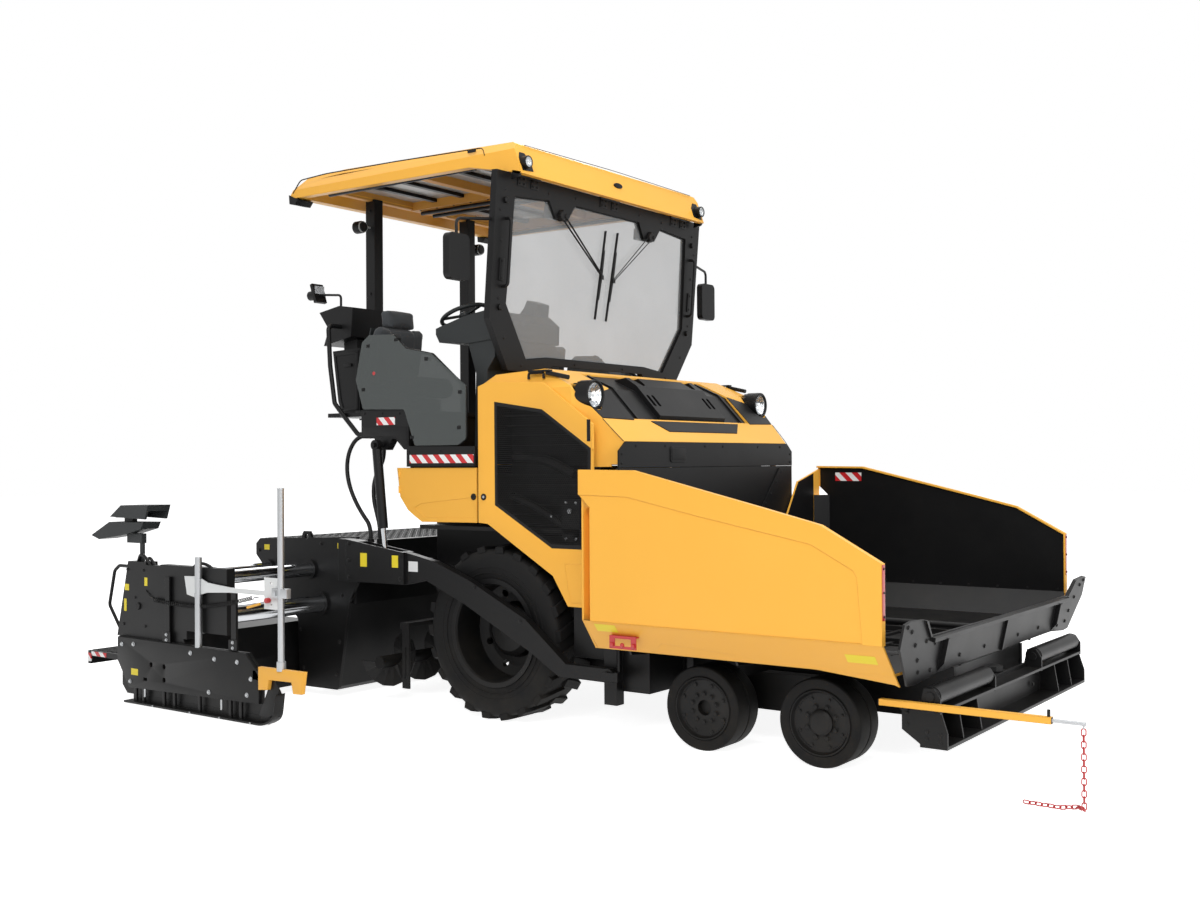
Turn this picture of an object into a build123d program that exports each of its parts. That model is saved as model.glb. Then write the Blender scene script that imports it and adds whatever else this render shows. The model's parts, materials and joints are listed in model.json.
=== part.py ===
from build123d import *
import os
from math import cos, hypot, pi, radians, sin, sqrt, tan

# Wheeled asphalt paver with canopy, tilting hopper and extending screed.
# Millimetres. The sizes below are taken with x = 0 over the drive axle, +X to the hopper,
# +Y to the left, ground at z = 0. Every solid is moved by frame_shift when it is written,
# so that the origin ends up on the ground under the middle of the machine.

# --- overall ---
front_end, rear_end = 3862, -3196
frame_shift = -(front_end + rear_end) / 2

# --- running gear ---
drive_radius, drive_outer, drive_inner = 587, 1203, 818
drive_carcass, drive_lugs, lug_sweep, rim_radius = 556, 22, 62, 345
hand_holes = 8
front_radius, front_outer, front_width, front_sides = 253, 1157, 240, 28
front_axles = {"front": 2373, "rear": 1605}
kingpin_y, kingpin_radius, knuckle_stub = 900, 34, 45
bogie_x = 1989

# --- front end ---
hopper_half, wing_sheet = 1590, 12
wing_hinge_y, wing_hinge_z, hinge_rod = 740, 600, 14
roller_x, roller_z, roller_radius, roller_axle = 3063, 487, 52, 14
beam_pivot_x, beam_pin = 2985, 24
guide_y, guide_z, guide_bar = -1300, 442, 10
apron_pivot, apron_pin = (2972, 580), 12
apron_lean = 12

# --- body ---
body_half = 1200
lamp_y, lamp_z, lamp_radius = 1080, 2150, 92
cowl_half = 758
door_hinge_x, rear_door_hinge_x = 846, -846
roof_half = 1150
screen_lean = 4.7

# --- screed ---
tow_x, tow_z, tow_pin = 1020, 410, 28
arm_inner, arm_outer = 1240, 1300
box_inner, box_outer = 1216, 1324
screed_half = 1215
extension_half = 2150
auger_x, auger_z, auger_radius, auger_stub = -1050, 300, 180, 30
lifting_eye = 20
lift_y = 1270
lift_top, lift_eye, lift_top_pin = (-1000, 1850), (-900, 930), 16

hose_ends = ((-1150, 1185), (-1108, 1135))

clearance = 0.3
lift_pin, eye_play = 11, 9

both_sides = {"right": -1, "left": 1}


def block(xs, ys, zs):
    """Box between two x, two y and two z values."""
    low = [min(pair) for pair in (xs, ys, zs)]
    high = [max(pair) for pair in (xs, ys, zs)]
    size = [b - a for a, b in zip(low, high)]
    return Pos(*low) * Box(*size, align=(Align.MIN, Align.MIN, Align.MIN))


def plate(points, ys, radius=0, plane="xz"):
    """Flat outline, given in x and z (or y and z, or x and y), as thick as the pair ys."""
    start, end = ys
    place = {
        "xz": lambda a, b: (a, start, b),
        "yz": lambda a, b: (start, a, b),
        "xy": lambda a, b: (a, b, start),
    }[plane]
    face = Face(Wire.make_polygon([place(a, b) for a, b in points]))
    if radius:
        face = face.fillet_2d(radius, face.vertices())
    way = {"xz": (0, 1, 0), "yz": (1, 0, 0), "xy": (0, 0, 1)}[plane]
    return Solid.extrude(face, Vector(*way) * (end - start))


def rod(start, end, radius):
    """Round bar from one point to another."""
    start, end = Vector(*start), Vector(*end)
    span = end - start
    return Plane(origin=start, z_dir=span) * Cylinder(
        radius, span.length, align=(Align.CENTER, Align.CENTER, Align.MIN))


def pipe(points, radius, bend):
    """Bent round tube through the points, each corner with the same bend."""
    path = FilletPolyline(*points, radius=bend)
    start = Plane(origin=path @ 0, z_dir=path % 0)
    return sweep(start * Circle(radius), path=path)


def tapered(points, ys, grow):
    """Solid between two outlines of one shape: the first y has the wider one."""
    xs, zs = zip(*points)
    cx, cz = (min(xs) + max(xs)) / 2, (min(zs) + max(zs)) / 2
    wide = [(cx + (x - cx) * grow, cz + (z - cz) * grow) for x, z in points]
    ends = [Wire.make_polygon([(x, y, z) for x, z in line]) for line, y in zip((wide, points), ys)]
    return Solid.make_loft(ends, ruled=True)


def bent_strip(points, ys, thick, bend):
    """Sheet bent along points in x and z, as wide as the pair ys."""
    start, end = ys
    path = FilletPolyline(*[(x, (start + end) / 2, z) for x, z in points], radius=bend)
    place = Plane(origin=path @ 0, x_dir=(0, 1, 0), z_dir=path % 0)
    return sweep(place * Rectangle(abs(end - start), thick), path=path)


def facet_ring(profile, centre, sides):
    """Ring of flat facets about a line along Y; the profile is given as radius and y."""
    x, z = centre

    def corner(r, y, k):
        angle = 2 * pi * k / sides
        return Vector(x + r * cos(angle), y, z + r * sin(angle))

    faces = []
    for k in range(sides):
        for (r0, y0), (r1, y1) in zip(profile, profile[1:] + profile[:1]):
            ring = [corner(r0, y0, k), corner(r1, y1, k), corner(r1, y1, k + 1), corner(r0, y0, k + 1)]
            faces.append(Face(Wire.make_polygon(ring)))
    solid = Solid(Shell(faces))
    return solid if solid.volume > 0 else Solid(Shell([-face for face in faces]))


def on_slope(points, start, end, lift, thick):
    """Plate on a sloping plane that runs in x and z from start to end; points are x and y."""
    (x0, z0), (x1, z1) = start, end
    length = hypot(x1 - x0, z1 - z0)
    nx, nz = (z0 - z1) / length, (x1 - x0) / length
    bottom = [(x0 + nx * lift, z0 + nz * lift), (x1 + nx * lift, z1 + nz * lift)]
    upper = [(x1 + nx * (lift + thick), z1 + nz * (lift + thick)),
             (x0 + nx * (lift + thick), z0 + nz * (lift + thick))]
    return plate(bottom + upper, (-body_half, body_half)) & plate(points, (1500, 2500), plane="xy")


def turned(profile, centre, axis=(0, 1, 0)):
    """Ring or disc turned about a line along Y; the profile is given as radius and y."""
    x, z = centre
    face = Face(Wire.make_polygon([(x + r, y, z) for r, y in profile]))
    return Solid.revolve(face, 360, Axis((x, 0, z), axis))


def mirrored(solid):
    return mirror(solid, about=Plane.XZ)


def to_side(solid, side):
    """Left and right share one drawing, made for the right (negative y) side."""
    return solid if side < 0 else mirrored(solid)


def fused(*solids):
    first, *rest = solids
    return first.fuse(*rest) if rest else first


parts = {}


# --- chassis -----------------------------------------------------------------
def chassis():
    pieces = []
    side = [(-880, 560), (-880, 1640), (985, 1640), (985, 560), (1250, 560), (1250, 300),
            (960, 300), (420, 330), (-420, 330), (-600, 500)]
    front_side = [(1200, 240), (2940, 240), (2940, 540), (1200, 540)]
    link_y, rod_x = arm_outer + 8, 1096
    for s in (-1, 1):
        pieces.append(plate(side, (s * 755, s * 785)))
        pieces.append(plate(front_side, (s * 560, s * 600)))
        # final drive housing behind each drive wheel
        pieces.append(rod((0, s * 660, drive_radius), (0, s * 862, drive_radius), 190))
        # bogie pivot
        pieces.append(rod((bogie_x, s * 590, 340), (bogie_x, s * 700, 340), 80))
        # box in front of the drive wheel, up to the tow point guide
        pieces.append(block((650, 980), (s * 785, s * 1150), (480, 1290)))
        pieces.append(block((965, 1235), (s * 755, s * 1160), (300, 560)))
        pieces.append(block((940, 1036), (s * 1150, s * 1226), (218, 590)))
        pieces.append(rod((tow_x, s * 1226, tow_z), (tow_x, s * 1322, tow_z), tow_pin))
        # tow point link outside the arm, hung on the rod of its height cylinder
        link = block((tow_x - 20, rod_x + 12), (s * link_y, s * (link_y + 14)), (tow_z - 25, tow_z + 25))
        clevis = block((rod_x - 14, rod_x + 12), (s * 1275, s * (link_y + 14)), (tow_z - 20, tow_z + 30))
        height_rod = rod((rod_x, s * 1288, tow_z + 20), (rod_x, s * 1288, 585), 9)
        bracket = block((rod_x - 20, rod_x + 20), (s * 1140, s * 1302), (578, 592))
        foot = block((rod_x - 20, rod_x + 20), (s * 1140, s * 1156), (540, 592))
        pieces += [link, clevis, height_rod, bracket, foot]
        # wheel arch deck over the drive tyre
        pieces.append(block((-700, 650), (s * 755, s * 1150), (1262, 1290)))
        # hopper hinge lugs and rod
        pieces.append(block((1008, 1040), (s * 700, s * 765), (540, 614)))
        pieces.append(block((2902, 2924), (s * 560, s * 765), (540, 625)))
        pieces.append(rod((1030, s * wing_hinge_y, wing_hinge_z),
                          (2910, s * wing_hinge_y, wing_hinge_z), hinge_rod))
        # apron pivots
        pieces.append(plate([(2924, 540), (apron_pivot[0] + 8, 564), (apron_pivot[0] + 8, 596), (2924, 600)],
                            (s * 588, s * 600)))
        pieces.append(rod((apron_pivot[0], s * 590, apron_pivot[1]),
                          (apron_pivot[0], s * 640, apron_pivot[1]), apron_pin))
    cross = [(-880, -850, 1010, 1640), (-600, -570, 500, 544), (560, 590, 330, 544),
             (960, 985, 330, 544), (1400, 1430, 240, 500), (2480, 2510, 240, 500),
             (2915, 2935, 215, 540)]  # x from, x to, z from, z to
    for x0, x1, z0, z1 in cross:
        half = 755 if x0 < 1000 else 560
        pieces.append(block((x0, x1), (-half, half), (z0, z1)))
    pieces.append(block((985, 1008), (-1150, 1150), (1000, 1682)))
    for s in (-1, 1):
        pieces.append(block((985, 1008), (s * 700, s * 785), (560, 1000)))
    pieces.append(block((-880, 1000), (-755, 755), (1625, 1640)))
    # fork and vertical pin of the push beam
    for z0, z1 in ((150, 180), (446, 476)):
        pieces.append(plate([(2920, -90), (beam_pivot_x + 10, -50), (beam_pivot_x + 32, 0),
                             (beam_pivot_x + 10, 50), (2920, 90)], (z0, z1), plane="xy"))
    pieces.append(block((2915, 2935), (-90, 90), (150, 240)))
    pieces.append(rod((beam_pivot_x, 0, 150), (beam_pivot_x, 0, 476), beam_pin))
    return fused(*pieces)


def bogie_beams():
    outline = [(1500, 215), (2480, 215), (2480, 330), (2170, 440), (1810, 440), (1500, 330)]
    beams = []
    for s in (-1, 1):
        pieces = [plate(outline, (s * 700, s * 790))]
        for x in front_axles.values():
            for z0, z1 in ((168, 196), (310, 338)):
                ear = block((x - 42, x + 42), (s * 780, s * kingpin_y), (z0, z1))
                eye = rod((x, s * kingpin_y, z0), (x, s * kingpin_y, z1), 42)
                pieces += [ear, eye]
            pieces.append(block((x - 42, x + 42), (s * 780, s * 815), (168, 338)))
        beam = fused(*pieces)
        for x in front_axles.values():
            beam = beam - rod((x, s * kingpin_y, 100), (x, s * kingpin_y, 400),
                              kingpin_radius + clearance)
        beams.append(beam)
    return Compound(beams)


def knuckle(side, x):
    """Kingpin, axle stub and hub flange; drawn on the right."""
    y = -kingpin_y
    pin = rod((x, y, 160), (x, y, 346), kingpin_radius)
    web = block((x - 40, x + 40), (y + 38, y - 60), (200, 306))
    stub = rod((x, y, front_radius), (x, -1090, front_radius), knuckle_stub)
    flange = rod((x, -1035, front_radius), (x, -1058, front_radius), 95)
    return to_side(fused(pin, web, stub, flange), side)


# --- wheels ------------------------------------------------------------------
def drive_tyre(side):
    """Carcass of flat facets with one lug on each, offset from shoulder to shoulder."""
    inner, outer = drive_inner, drive_outer
    profile = [(rim_radius + 4, inner + 22), (480, inner), (540, inner + 14), (drive_carcass, inner + 34),
               (drive_carcass, outer - 34), (540, outer - 14), (480, outer), (rim_radius + 4, outer - 22)]
    sides = 2 * drive_lugs
    tyre = facet_ring([(r, -y) for r, y in profile], (0, drive_radius), sides)
    middle = (inner + outer) / 2
    # the far corner of a lug is the point that touches the ground
    lug_top = sqrt(drive_radius ** 2 - (36 + lug_sweep) ** 2)
    lugs = []
    # each row starts near the middle of the tread and ends over one shoulder
    for row, (y0, y1) in enumerate(((middle - 14, outer - 10), (middle + 14, inner + 10))):
        corners = [(-34, y0), (34, y0), (36 + lug_sweep, y1), (-32 + lug_sweep, y1)]
        lug = plate([(a, -b) for a, b in corners], (drive_carcass - 18, lug_top), plane="xy")
        for i in range(drive_lugs):
            turn = 360 / drive_lugs * (i + row / 2)
            lugs.append(Pos(0, 0, drive_radius) * Rot(0, turn, 0) * lug)
    return to_side(tyre.fuse(*lugs), side)


def drive_rim(side):
    """Deep dished rim; the hub with its ring of hand holes lies at the bottom of the dish."""
    profile = [(0, 866), (200, 866), (200, 900), (318, 916), (330, 846), (330, 826),
               (362, 826), (362, 834), (rim_radius, 839), (rim_radius, 1182), (362, 1188),
               (362, 1196), (330, 1196), (322, 1180), (316, 960), (250, 936), (190, 936),
               (176, 1000), (140, 1030), (60, 1040), (0, 1040)]
    rim = turned([(r, -y) for r, y in profile], (0, drive_radius))
    for i in range(hand_holes):
        angle = 2 * pi * (i + 0.5) / hand_holes
        x, z = 258 * cos(angle), drive_radius + 258 * sin(angle)
        rim = rim - rod((x, -890, z), (x, -960, z), 24)
    return to_side(rim, side)


def front_wheel(side, x, capped):
    """Solid rubber tyre with a middle groove, on a steel disc that is open round the knuckle."""
    y0, y1 = front_outer - front_width, front_outer
    top, groove = front_radius, front_radius - 20
    tread = [(188, y0), (top - 8, y0), (top, y0 + 12), (top, 1022), (groove, 1030), (top, 1038),
             (top, y1 - 12), (top - 12, y1), (188, y1)]
    tyre = facet_ring([(r, -y) for r, y in tread], (x, front_radius), front_sides)
    steel = [(184, y0 + 6), (190, y0 + 6), (190, y1 - 10), (184, y1), (176, y1), (170, y1 - 16),
             (122, y1 - 22), (108, y1 - 28), (knuckle_stub + clearance, y1 - 28),
             (knuckle_stub + clearance, 1060), (176, 1060)]
    disc = turned([(r, -y) for r, y in steel], (x, front_radius))
    # curved slots between the rim ring and the disc
    ring = turned([(r, -y) for r, y in ((156, 1126), (168, 1126), (168, 1160), (156, 1160))],
                  (x, front_radius))
    for i in range(4):
        bridge = Pos(x, -1143, front_radius) * (Rot(0, 90 * i + 45, 0) * (Pos(162, 0, 0) * Box(40, 60, 46)))
        ring = ring - bridge
    disc = disc - ring
    if capped:
        cap = turned([(r, -y) for r, y in ((0, 1110), (72, 1110), (72, y1 - 14), (58, y1 - 4), (0, y1 - 4))],
                     (x, front_radius))
        disc = disc + cap
    return to_side(fused(tyre, disc), side)


# --- hopper ------------------------------------------------------------------
def hopper_wing(side):
    """Side wall with a raised border, sloping skirt, floor and rear wall; drawn on the right."""
    y = -hopper_half
    outline = [(1019, 1677), (1405, 1672), (2231, 1475), (2598, 1385), (2942, 1196), (2942, 776),
               (1112, 776), (1099, 810), (1104, 1451), (1019, 1529)]
    # the middle of the wall lies back from the border along its top and front edge
    panel = [(2840, 700), (2804, 1120), (2786, 1155), (2545, 1283), (1868, 1413), (1368, 1518),
             (1000, 1527), (1000, 700)]
    wall = plate(outline, (y, y + wing_sheet + 4)) - plate(panel, (y - 1, y + 4))
    # rolled edge along the top of the wall and flange down its front
    top = outline[:5]
    rims = []
    for (xa, za), (xb, zb) in zip(top, top[1:]):
        rims.append(plate([(xa, za), (xb, zb), (xb, zb - 14), (xa, za - 14)], (y, y + 42)))
    rims.append(block((2930, 2942), (y, y + 42), (776, 1190)))
    # the skirt slopes in below the wall; its lower edge has a tab at the back
    slope = [(y, 784), (y + wing_sheet + 4, 784), (-1326, 500), (-1342, 500)]
    edge = [(1112, 800), (1124, 704), (1196, 704), (1196, 616), (1455, 614), (1545, 675),
            (2034, 641), (2517, 598), (2920, 552), (2942, 540), (2942, 800)]
    skirt = plate(slope, (1100, 2950), plane="yz") & plate(edge, (-1700, -1300))
    inner = plate([(y + 8, 784), (y + 16, 784), (-1420, 602), (-1432, 602)], (1046, 2935), plane="yz")
    floor = block((1046, 2935), (-1428, -800), (600, 614))
    inner_edge = block((1046, 2894), (-800, -765), (600, 614))
    barrel = rod((1046, -wing_hinge_y, wing_hinge_z), (2894, -wing_hinge_y, wing_hinge_z), 26)
    web = block((1046, 2894), (-790, -752), (596, 618))
    rear = plate([(-800, 604), (-1428, 604), (-1560, 784), (-1560, 1652), (-1200, 1560), (-800, 1000)],
                 (1022, 1036), plane="yz")
    # slanted corner from the rear plate to the back edge of the wall
    corner = plate([(1022, -1470), (1036, -1462), (1116, -1576), (1101, -1588)], (784, 1450), plane="xy")
    rear_join = block((1022, 1046), (-1428, -800), (600, 614))
    ribs = [plate([(-800, 605), (-1418, 605), (-1400, 575), (-1250, 560), (-800, 575)],
                  (x, x + 12), plane="yz") for x in (1260, 1985, 2760)]
    wing = fused(wall, skirt, inner, floor, inner_edge, barrel, web, rear, corner, rear_join,
                 *rims, *ribs)
    bore = rod((1000, -wing_hinge_y, wing_hinge_z), (2960, -wing_hinge_y, wing_hinge_z),
               hinge_rod + clearance)
    return to_side(wing - bore, side)


def conveyor_floor():
    """Deck between the frames with two rows of slats, each row drawn by a pair of chains."""
    deck = block((-850, 2896), (-640, 640), (545, 560))
    guards = [block((-850, 2896), (y - 14, y + 14), (560, 596)) for y in (-560, -20, 20, 560)]
    slats = [block((x, x + 30), (s * 40, s * 540), (560, 576)) for s in (-1, 1)
             for x in range(-780, 2860, 182)]
    chains = [block((-790, 2870), (s * y - 8, s * y + 8), (560, 571)) for s in (-1, 1) for y in (110, 470)]
    return fused(deck, *guards, *slats, *chains)


def apron():
    """Flap across the hopper mouth, with an ear behind each wing and a rib in the middle."""
    half = [(0, 0), (1000, 0), (1300, -26), (1400, -20), (1596, 200), (1596, 330), (1520, 342),
            (1330, 330), (1210, 228), (0, 222)]
    outline = half + [(-a, b) for a, b in reversed(half[1:-1])]
    px, pz = apron_pivot
    face = px + 28
    pieces = [Pos(px + 16, 0, pz - 2) * plate(outline, (0, 12), plane="yz")]
    for s in (-1, 1):
        lug = block((px - 18, px + 18), (s * 604, s * 628), (pz - 18, pz + 18))
        pieces.append(lug - rod((px, s * 600, pz), (px, s * 640, pz), apron_pin + clearance))
        # gussets at the ends of the middle part and a ridge up each ear
        gusset = [(face - 1, pz + 2), (face + 32, pz + 60), (face + 32, pz + 198), (face - 1, pz + 198)]
        pieces.append(plate(gusset, (s * 1000, s * 1012)))
        pieces.append(plate([(s * 1210, pz + 226), (s * 1228, pz + 226), (s * 1340, pz + 326),
                             (s * 1316, pz + 326)], (face - 1, face + 14), plane="yz"))
    pieces.append(block((face - 1, face + 24), (-1190, 1190), (pz + 196, pz + 220)))
    pieces.append(block((face - 1, face + 18), (-9, 9), (pz + 2, pz + 198)))
    whole = fused(*pieces)
    return Pos(px, 0, pz) * (Rot(0, apron_lean, 0) * (Pos(-px, 0, -pz) * whole))


def push_beam():
    """Cross beam on a vertical pin, carrying the two rollers that push the lorry."""
    pieces = [block((3000, 3020), (-1250, 1250), (215, 440)),
              block((3000, 3150), (-1250, 1250), (215, 232)),
              block((3000, 3120), (-1250, 1250), (405, 420)),
              block((2940 + 12, 3020), (-95, 95), (184, 442))]
    for s in (-1, 1):
        pieces.append(plate([(2900, 300), (3000, 232), (3150, 215), (3150, 300), (3110, 424),
                             (2900, 424)], (s * 1238, s * 1250)))
        for y in (424, 1262):
            cheek = plate([(3000, 400), (3120, 400), (3120, 480), (3086, 530), (3030, 530)],
                          (s * (y - 6), s * (y + 6)))
            nut_end = y + 14 if y > 1000 else y - 14
            nut = rod((roller_x, s * y, roller_z), (roller_x, s * nut_end, roller_z), 26)
            pieces += [cheek, nut]
        pieces.append(rod((roller_x, s * 420, roller_z), (roller_x, s * 1264, roller_z), roller_axle))
        for y in (700, 980):
            pieces.append(plate([(3018, 230), (3140, 230), (3110, 410), (3018, 410)], (s * y, s * (y + 12))))
    # side guide bar clamped to the end of the beam
    tube = block((2794, 3700), (guide_y - 16, guide_y + 16), (guide_z - 16, guide_z + 16))
    tube = tube - rod((2700, guide_y, guide_z), (3720, guide_y, guide_z), guide_bar + clearance)
    clamps = [block((x, x + 40), (guide_y + 10, -1240), (guide_z - 34, guide_z - 14)) for x in (2910, 3060)]
    knob = rod((3684, guide_y, guide_z + 12), (3684, guide_y, guide_z + 52), 8)
    beam = fused(*pieces, tube, knob, *clamps)
    return beam - rod((beam_pivot_x, 0, 100), (beam_pivot_x, 0, 500), beam_pin + clearance)


def push_roller(side):
    """Hollow sleeve with a step at each end."""
    profile = [(roller_axle + clearance, 434), (roller_radius - 10, 434), (roller_radius - 10, 444),
               (roller_radius, 444), (roller_radius, 1242), (roller_radius - 10, 1242),
               (roller_radius - 10, 1252), (roller_axle + clearance, 1252)]
    return to_side(turned([(r, -y) for r, y in profile], (roller_x, roller_z)), side)


def guide_rod():
    bar = rod((3000, guide_y, guide_z), (front_end, guide_y, guide_z), guide_bar)
    eye = rod((3850, guide_y, guide_z - 22), (3850, guide_y, guide_z), 5)
    return fused(bar, eye)


def guide_chain():
    """Chain of flat-sided links, each turned a quarter from the last, hanging and lying down."""
    long, wide, wire = 20, 11, 6
    ring = [(-wide, -long + 6), (-wide + 5, -long), (wide - 5, -long), (wide, -long + 6),
            (wide, long - 6), (wide - 5, long), (-wide + 5, long), (-wide, long - 6)]
    hole = [(-wide + wire, -long + wire), (wide - wire, -long + wire), (wide - wire, long - wire),
            (-wide + wire, long - wire)]
    link = plate(ring, (-wire / 2, wire / 2)) - plate(hole, (-wire, wire))
    links = []
    # middle line of the chain: down to the ground, then along it
    line = [(3850, guide_y, guide_z - 40), (3850, guide_y, 34), (3794, -1210, 13), (3727, -1270, 13),
            (3540, -1262, 13)]
    for start, end in zip(line, line[1:]):
        a, b = Vector(*start), Vector(*end)
        count = max(1, round((b - a).length / 44))
        for i in range(count):
            at = a + (b - a) * ((i + 0.5) / count)
            links.append(Plane(origin=at, z_dir=b - a) * (Rot(0, 0, 90 * (i % 2)) * link))
    return Compound(links)


# --- body --------------------------------------------------------------------
def hood_block(inset=0):
    """Chamfered hood outline as a solid, smaller all round by the inset."""
    i = inset
    outline = [(-120 + i, 1690 - i), (-120 + i, 2238 - i), (-25 + i, 2312 - i), (380, 2335 - i),
               (650, 2212 - i), (864 - i, 1990 - i), (997 - i, 1853 - i), (997 - i, 1690 - i)]
    half = body_half - 14 - i
    solid = plate(outline, (-half, half))
    for s in (-1, 1):
        top = plate([(s * (half + 1), 2200 - i), (s * (half + 1), 2400), (s * (half - 150), 2400),
                     (s * (half - 90), 2330 - i)], (-200, 1100), plane="yz")
        front = plate([(660, s * (half + 1)), (1100, s * (half + 1)), (1100, s * (half - 120)),
                       (997 - i, s * (half - 110)), (765, s * (half - 38))], (1600, 2400), plane="xy")
        solid = solid - top - front
    return solid


def hood_shell():
    shell = hood_block() - hood_block(14) - block((-200, 1100), (-1100, 1100), (1600, 1705))
    # side openings behind the mesh doors, cowl well in the top and radiator opening in front
    for s in (-1, 1):
        shell = shell - plate([(-60, 1600), (-60, 2160), (0, 2190), (430, 2160), (640, 2080),
                               (800, 1930), (800, 1600)], (s * 1100, s * 1250))
    shell = shell - block((418, 852), (-cowl_half - 4, cowl_half + 4), (1960, 2400))
    # round recesses for the head lamps
    for s in (-1, 1):
        shell = shell - rod((620, s * lamp_y, lamp_z), (800, s * lamp_y, lamp_z), lamp_radius + 5)
    shell = shell - plate([(-1010, 1700), (-960, 1836), (960, 1836), (1010, 1700)], (940, 1100), plane="yz")
    return shell


def cowl():
    """Black cover in the top of the hood with a raised slotted middle, lamp panels and lip."""
    upper, lower, nose = (650, 2212), (864, 1990), (997, 1853)
    well = plate([(420, 2304), (640, 2204), (838, 1992), (830, 1984), (630, 2190), (420, 2286)],
                 (-cowl_half, cowl_half))
    hump = plate([(470, 2284), (560, 2300), (655, 2240), (846, 2032), (830, 1990), (640, 2204), (470, 2280)],
                 (-430, 430))
    for s in (-1, 1):
        hump = hump - plate([(440, s * 240), (640, s * 300), (650, s * 340), (440, s * 440)],
                            (1900, 2400), plane="xy")
        # slanted oval slots on both flanks of the hump
        for y in (330, 390):
            oval = Pos(740, s * y, 2130) * (Rot(0, 46, 0) * extrude(SlotOverall(110, 34), 90, both=True))
            hump = hump - oval
        # ribs along the sides of the well
        hump = hump.fuse(plate([(430, 2310), (640, 2220), (846, 2004), (836, 1990), (630, 2196), (430, 2286)],
                               (s * (cowl_half - 60), s * (cowl_half - 84))))
    top = fused(well, hump)
    pieces = [top]
    for s in (-1, 1):
        panel = [(662, s * (cowl_half + 6)), (700, s * 960), (700, s * 1138), (770, s * 1140),
                 (856, s * 1108), (862, s * (cowl_half + 6))]
        lamp_hole = rod((600, s * lamp_y, lamp_z), (900, s * lamp_y, lamp_z), lamp_radius + 5)
        pieces.append(on_slope(panel, upper, lower, 0.5, 4) - lamp_hole)
    pieces.append(on_slope([(868, -575), (868, 575), (934, 450), (934, -450)], lower, nose, 0.5, 4))
    front = plate([(-1150, 1684), (-1150, 1790), (-1072, 1850), (1072, 1850), (1150, 1790), (1150, 1684)],
                  (998, 1010), plane="yz")
    hatch_edge = [(-565, 1716), (-376, 1716), (-376, 1822), (-565, 1822)]
    hatch = plate(hatch_edge, (1010, 1016), radius=24, plane="yz")
    pieces.append(fused(front, hatch))
    for s in (-1, 1):
        pieces.append(plate([(s * 1045, 1666), (s * 939, 1666), (s * 653, 1380), (s * 753, 1380)],
                            (1008.5, 1018), plane="yz"))
        # grab handle on two posts, and the grip that points forward and in
        y = s * 1150
        posts = pipe([(290, y, 2267), (290, y, 2306), (415, y, 2306), (415, y, 2267)], 9, 16)
        cover = block((300, 470), (y - 22, y + 22), (2310, 2322))
        grip = rod((440, y, 2304), (612, y - s * 8, 2266), 15)
        pieces.append(fused(posts, cover, grip))
    return Compound(pieces)


def side_door(side):
    """Side panel with a mesh window in a chamfered border, hinged on its front edge."""
    y = -body_half
    outline = [(-112, 1318), (-112, 2232), (-20, 2262), (452, 2238), (846, 1960), (846, 802),
               (640, 802), (520, 990), (-30, 1312)]
    window = [(44, 1446), (42, 2110), (434, 2050), (812, 1803), (805, 1184), (507, 1184)]
    frame = plate(outline, (y, y + 13)) - tapered(window, (y - 4, y + 14), 1.06)
    # pressed field below the window
    frame = frame - plate([(612, 1078), (805, 1084), (805, 830), (660, 826), (634, 950)], (y - 1, y + 3))
    mesh = plate(window, (y + 5, y + 9))
    hinges = [rod((door_hinge_x, y, z), (door_hinge_x, y, z + 90), 8) for z in (900, 1400, 1800)]
    return to_side(fused(frame, mesh, *hinges), side)


def rear_door(side):
    """Panel behind the side door, hinged on its rear edge."""
    y = -body_half
    outline = [(-869, 1688), (-126, 1688), (-126, 1318), (-631, 1313), (-700, 1352), (-765, 1394),
               (-839, 1484)]
    skin = plate(outline, (y, y + 13)) - plate([(-640, 1440), (-190, 1485), (-134, 1428), (-134, 1350),
                                                (-600, 1345), (-700, 1410)], (y - 1, y + 2))
    hinges = [rod((rear_door_hinge_x, y, z), (rear_door_hinge_x, y, z + 50), 8) for z in (1510, 1620)]
    return to_side(fused(skin, *hinges), side)


def engine_block():
    return block((60, 900), (-420, 420), (1060, 1615))


def lamps():
    """Head lamps, roof lamps and the round work lamps behind the posts."""
    pieces = []
    for s in (-1, 1):
        # housing with a deep bowl: radius and x
        bowl = ((0, 640), (60, 640), (lamp_radius, 700), (lamp_radius, 780), (82, 780), (78, 760),
                (40, 700), (0, 694))
        pieces.append(turned_x(bowl, (s * lamp_y, lamp_z)))
        pieces.append(rod((160, s * 1091, 3712), (255, s * 1091, 3712), 40))
        stem = rod((-1760, s * 590, 3570), (-1760, s * 680, 3570), 9)
        pieces.append(fused(stem, rod((-1800, s * 690, 3560), (-1730, s * 690, 3560), 45)))
    return Compound(pieces)


def turned_x(profile, centre):
    """Disc turned about a line along X; the profile is given as radius and x."""
    y, z = centre
    face = Face(Wire.make_polygon([(x, y, z + r) for r, x in profile]))
    return Solid.revolve(face, 360, Axis((0, y, z), (1, 0, 0)))


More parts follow.
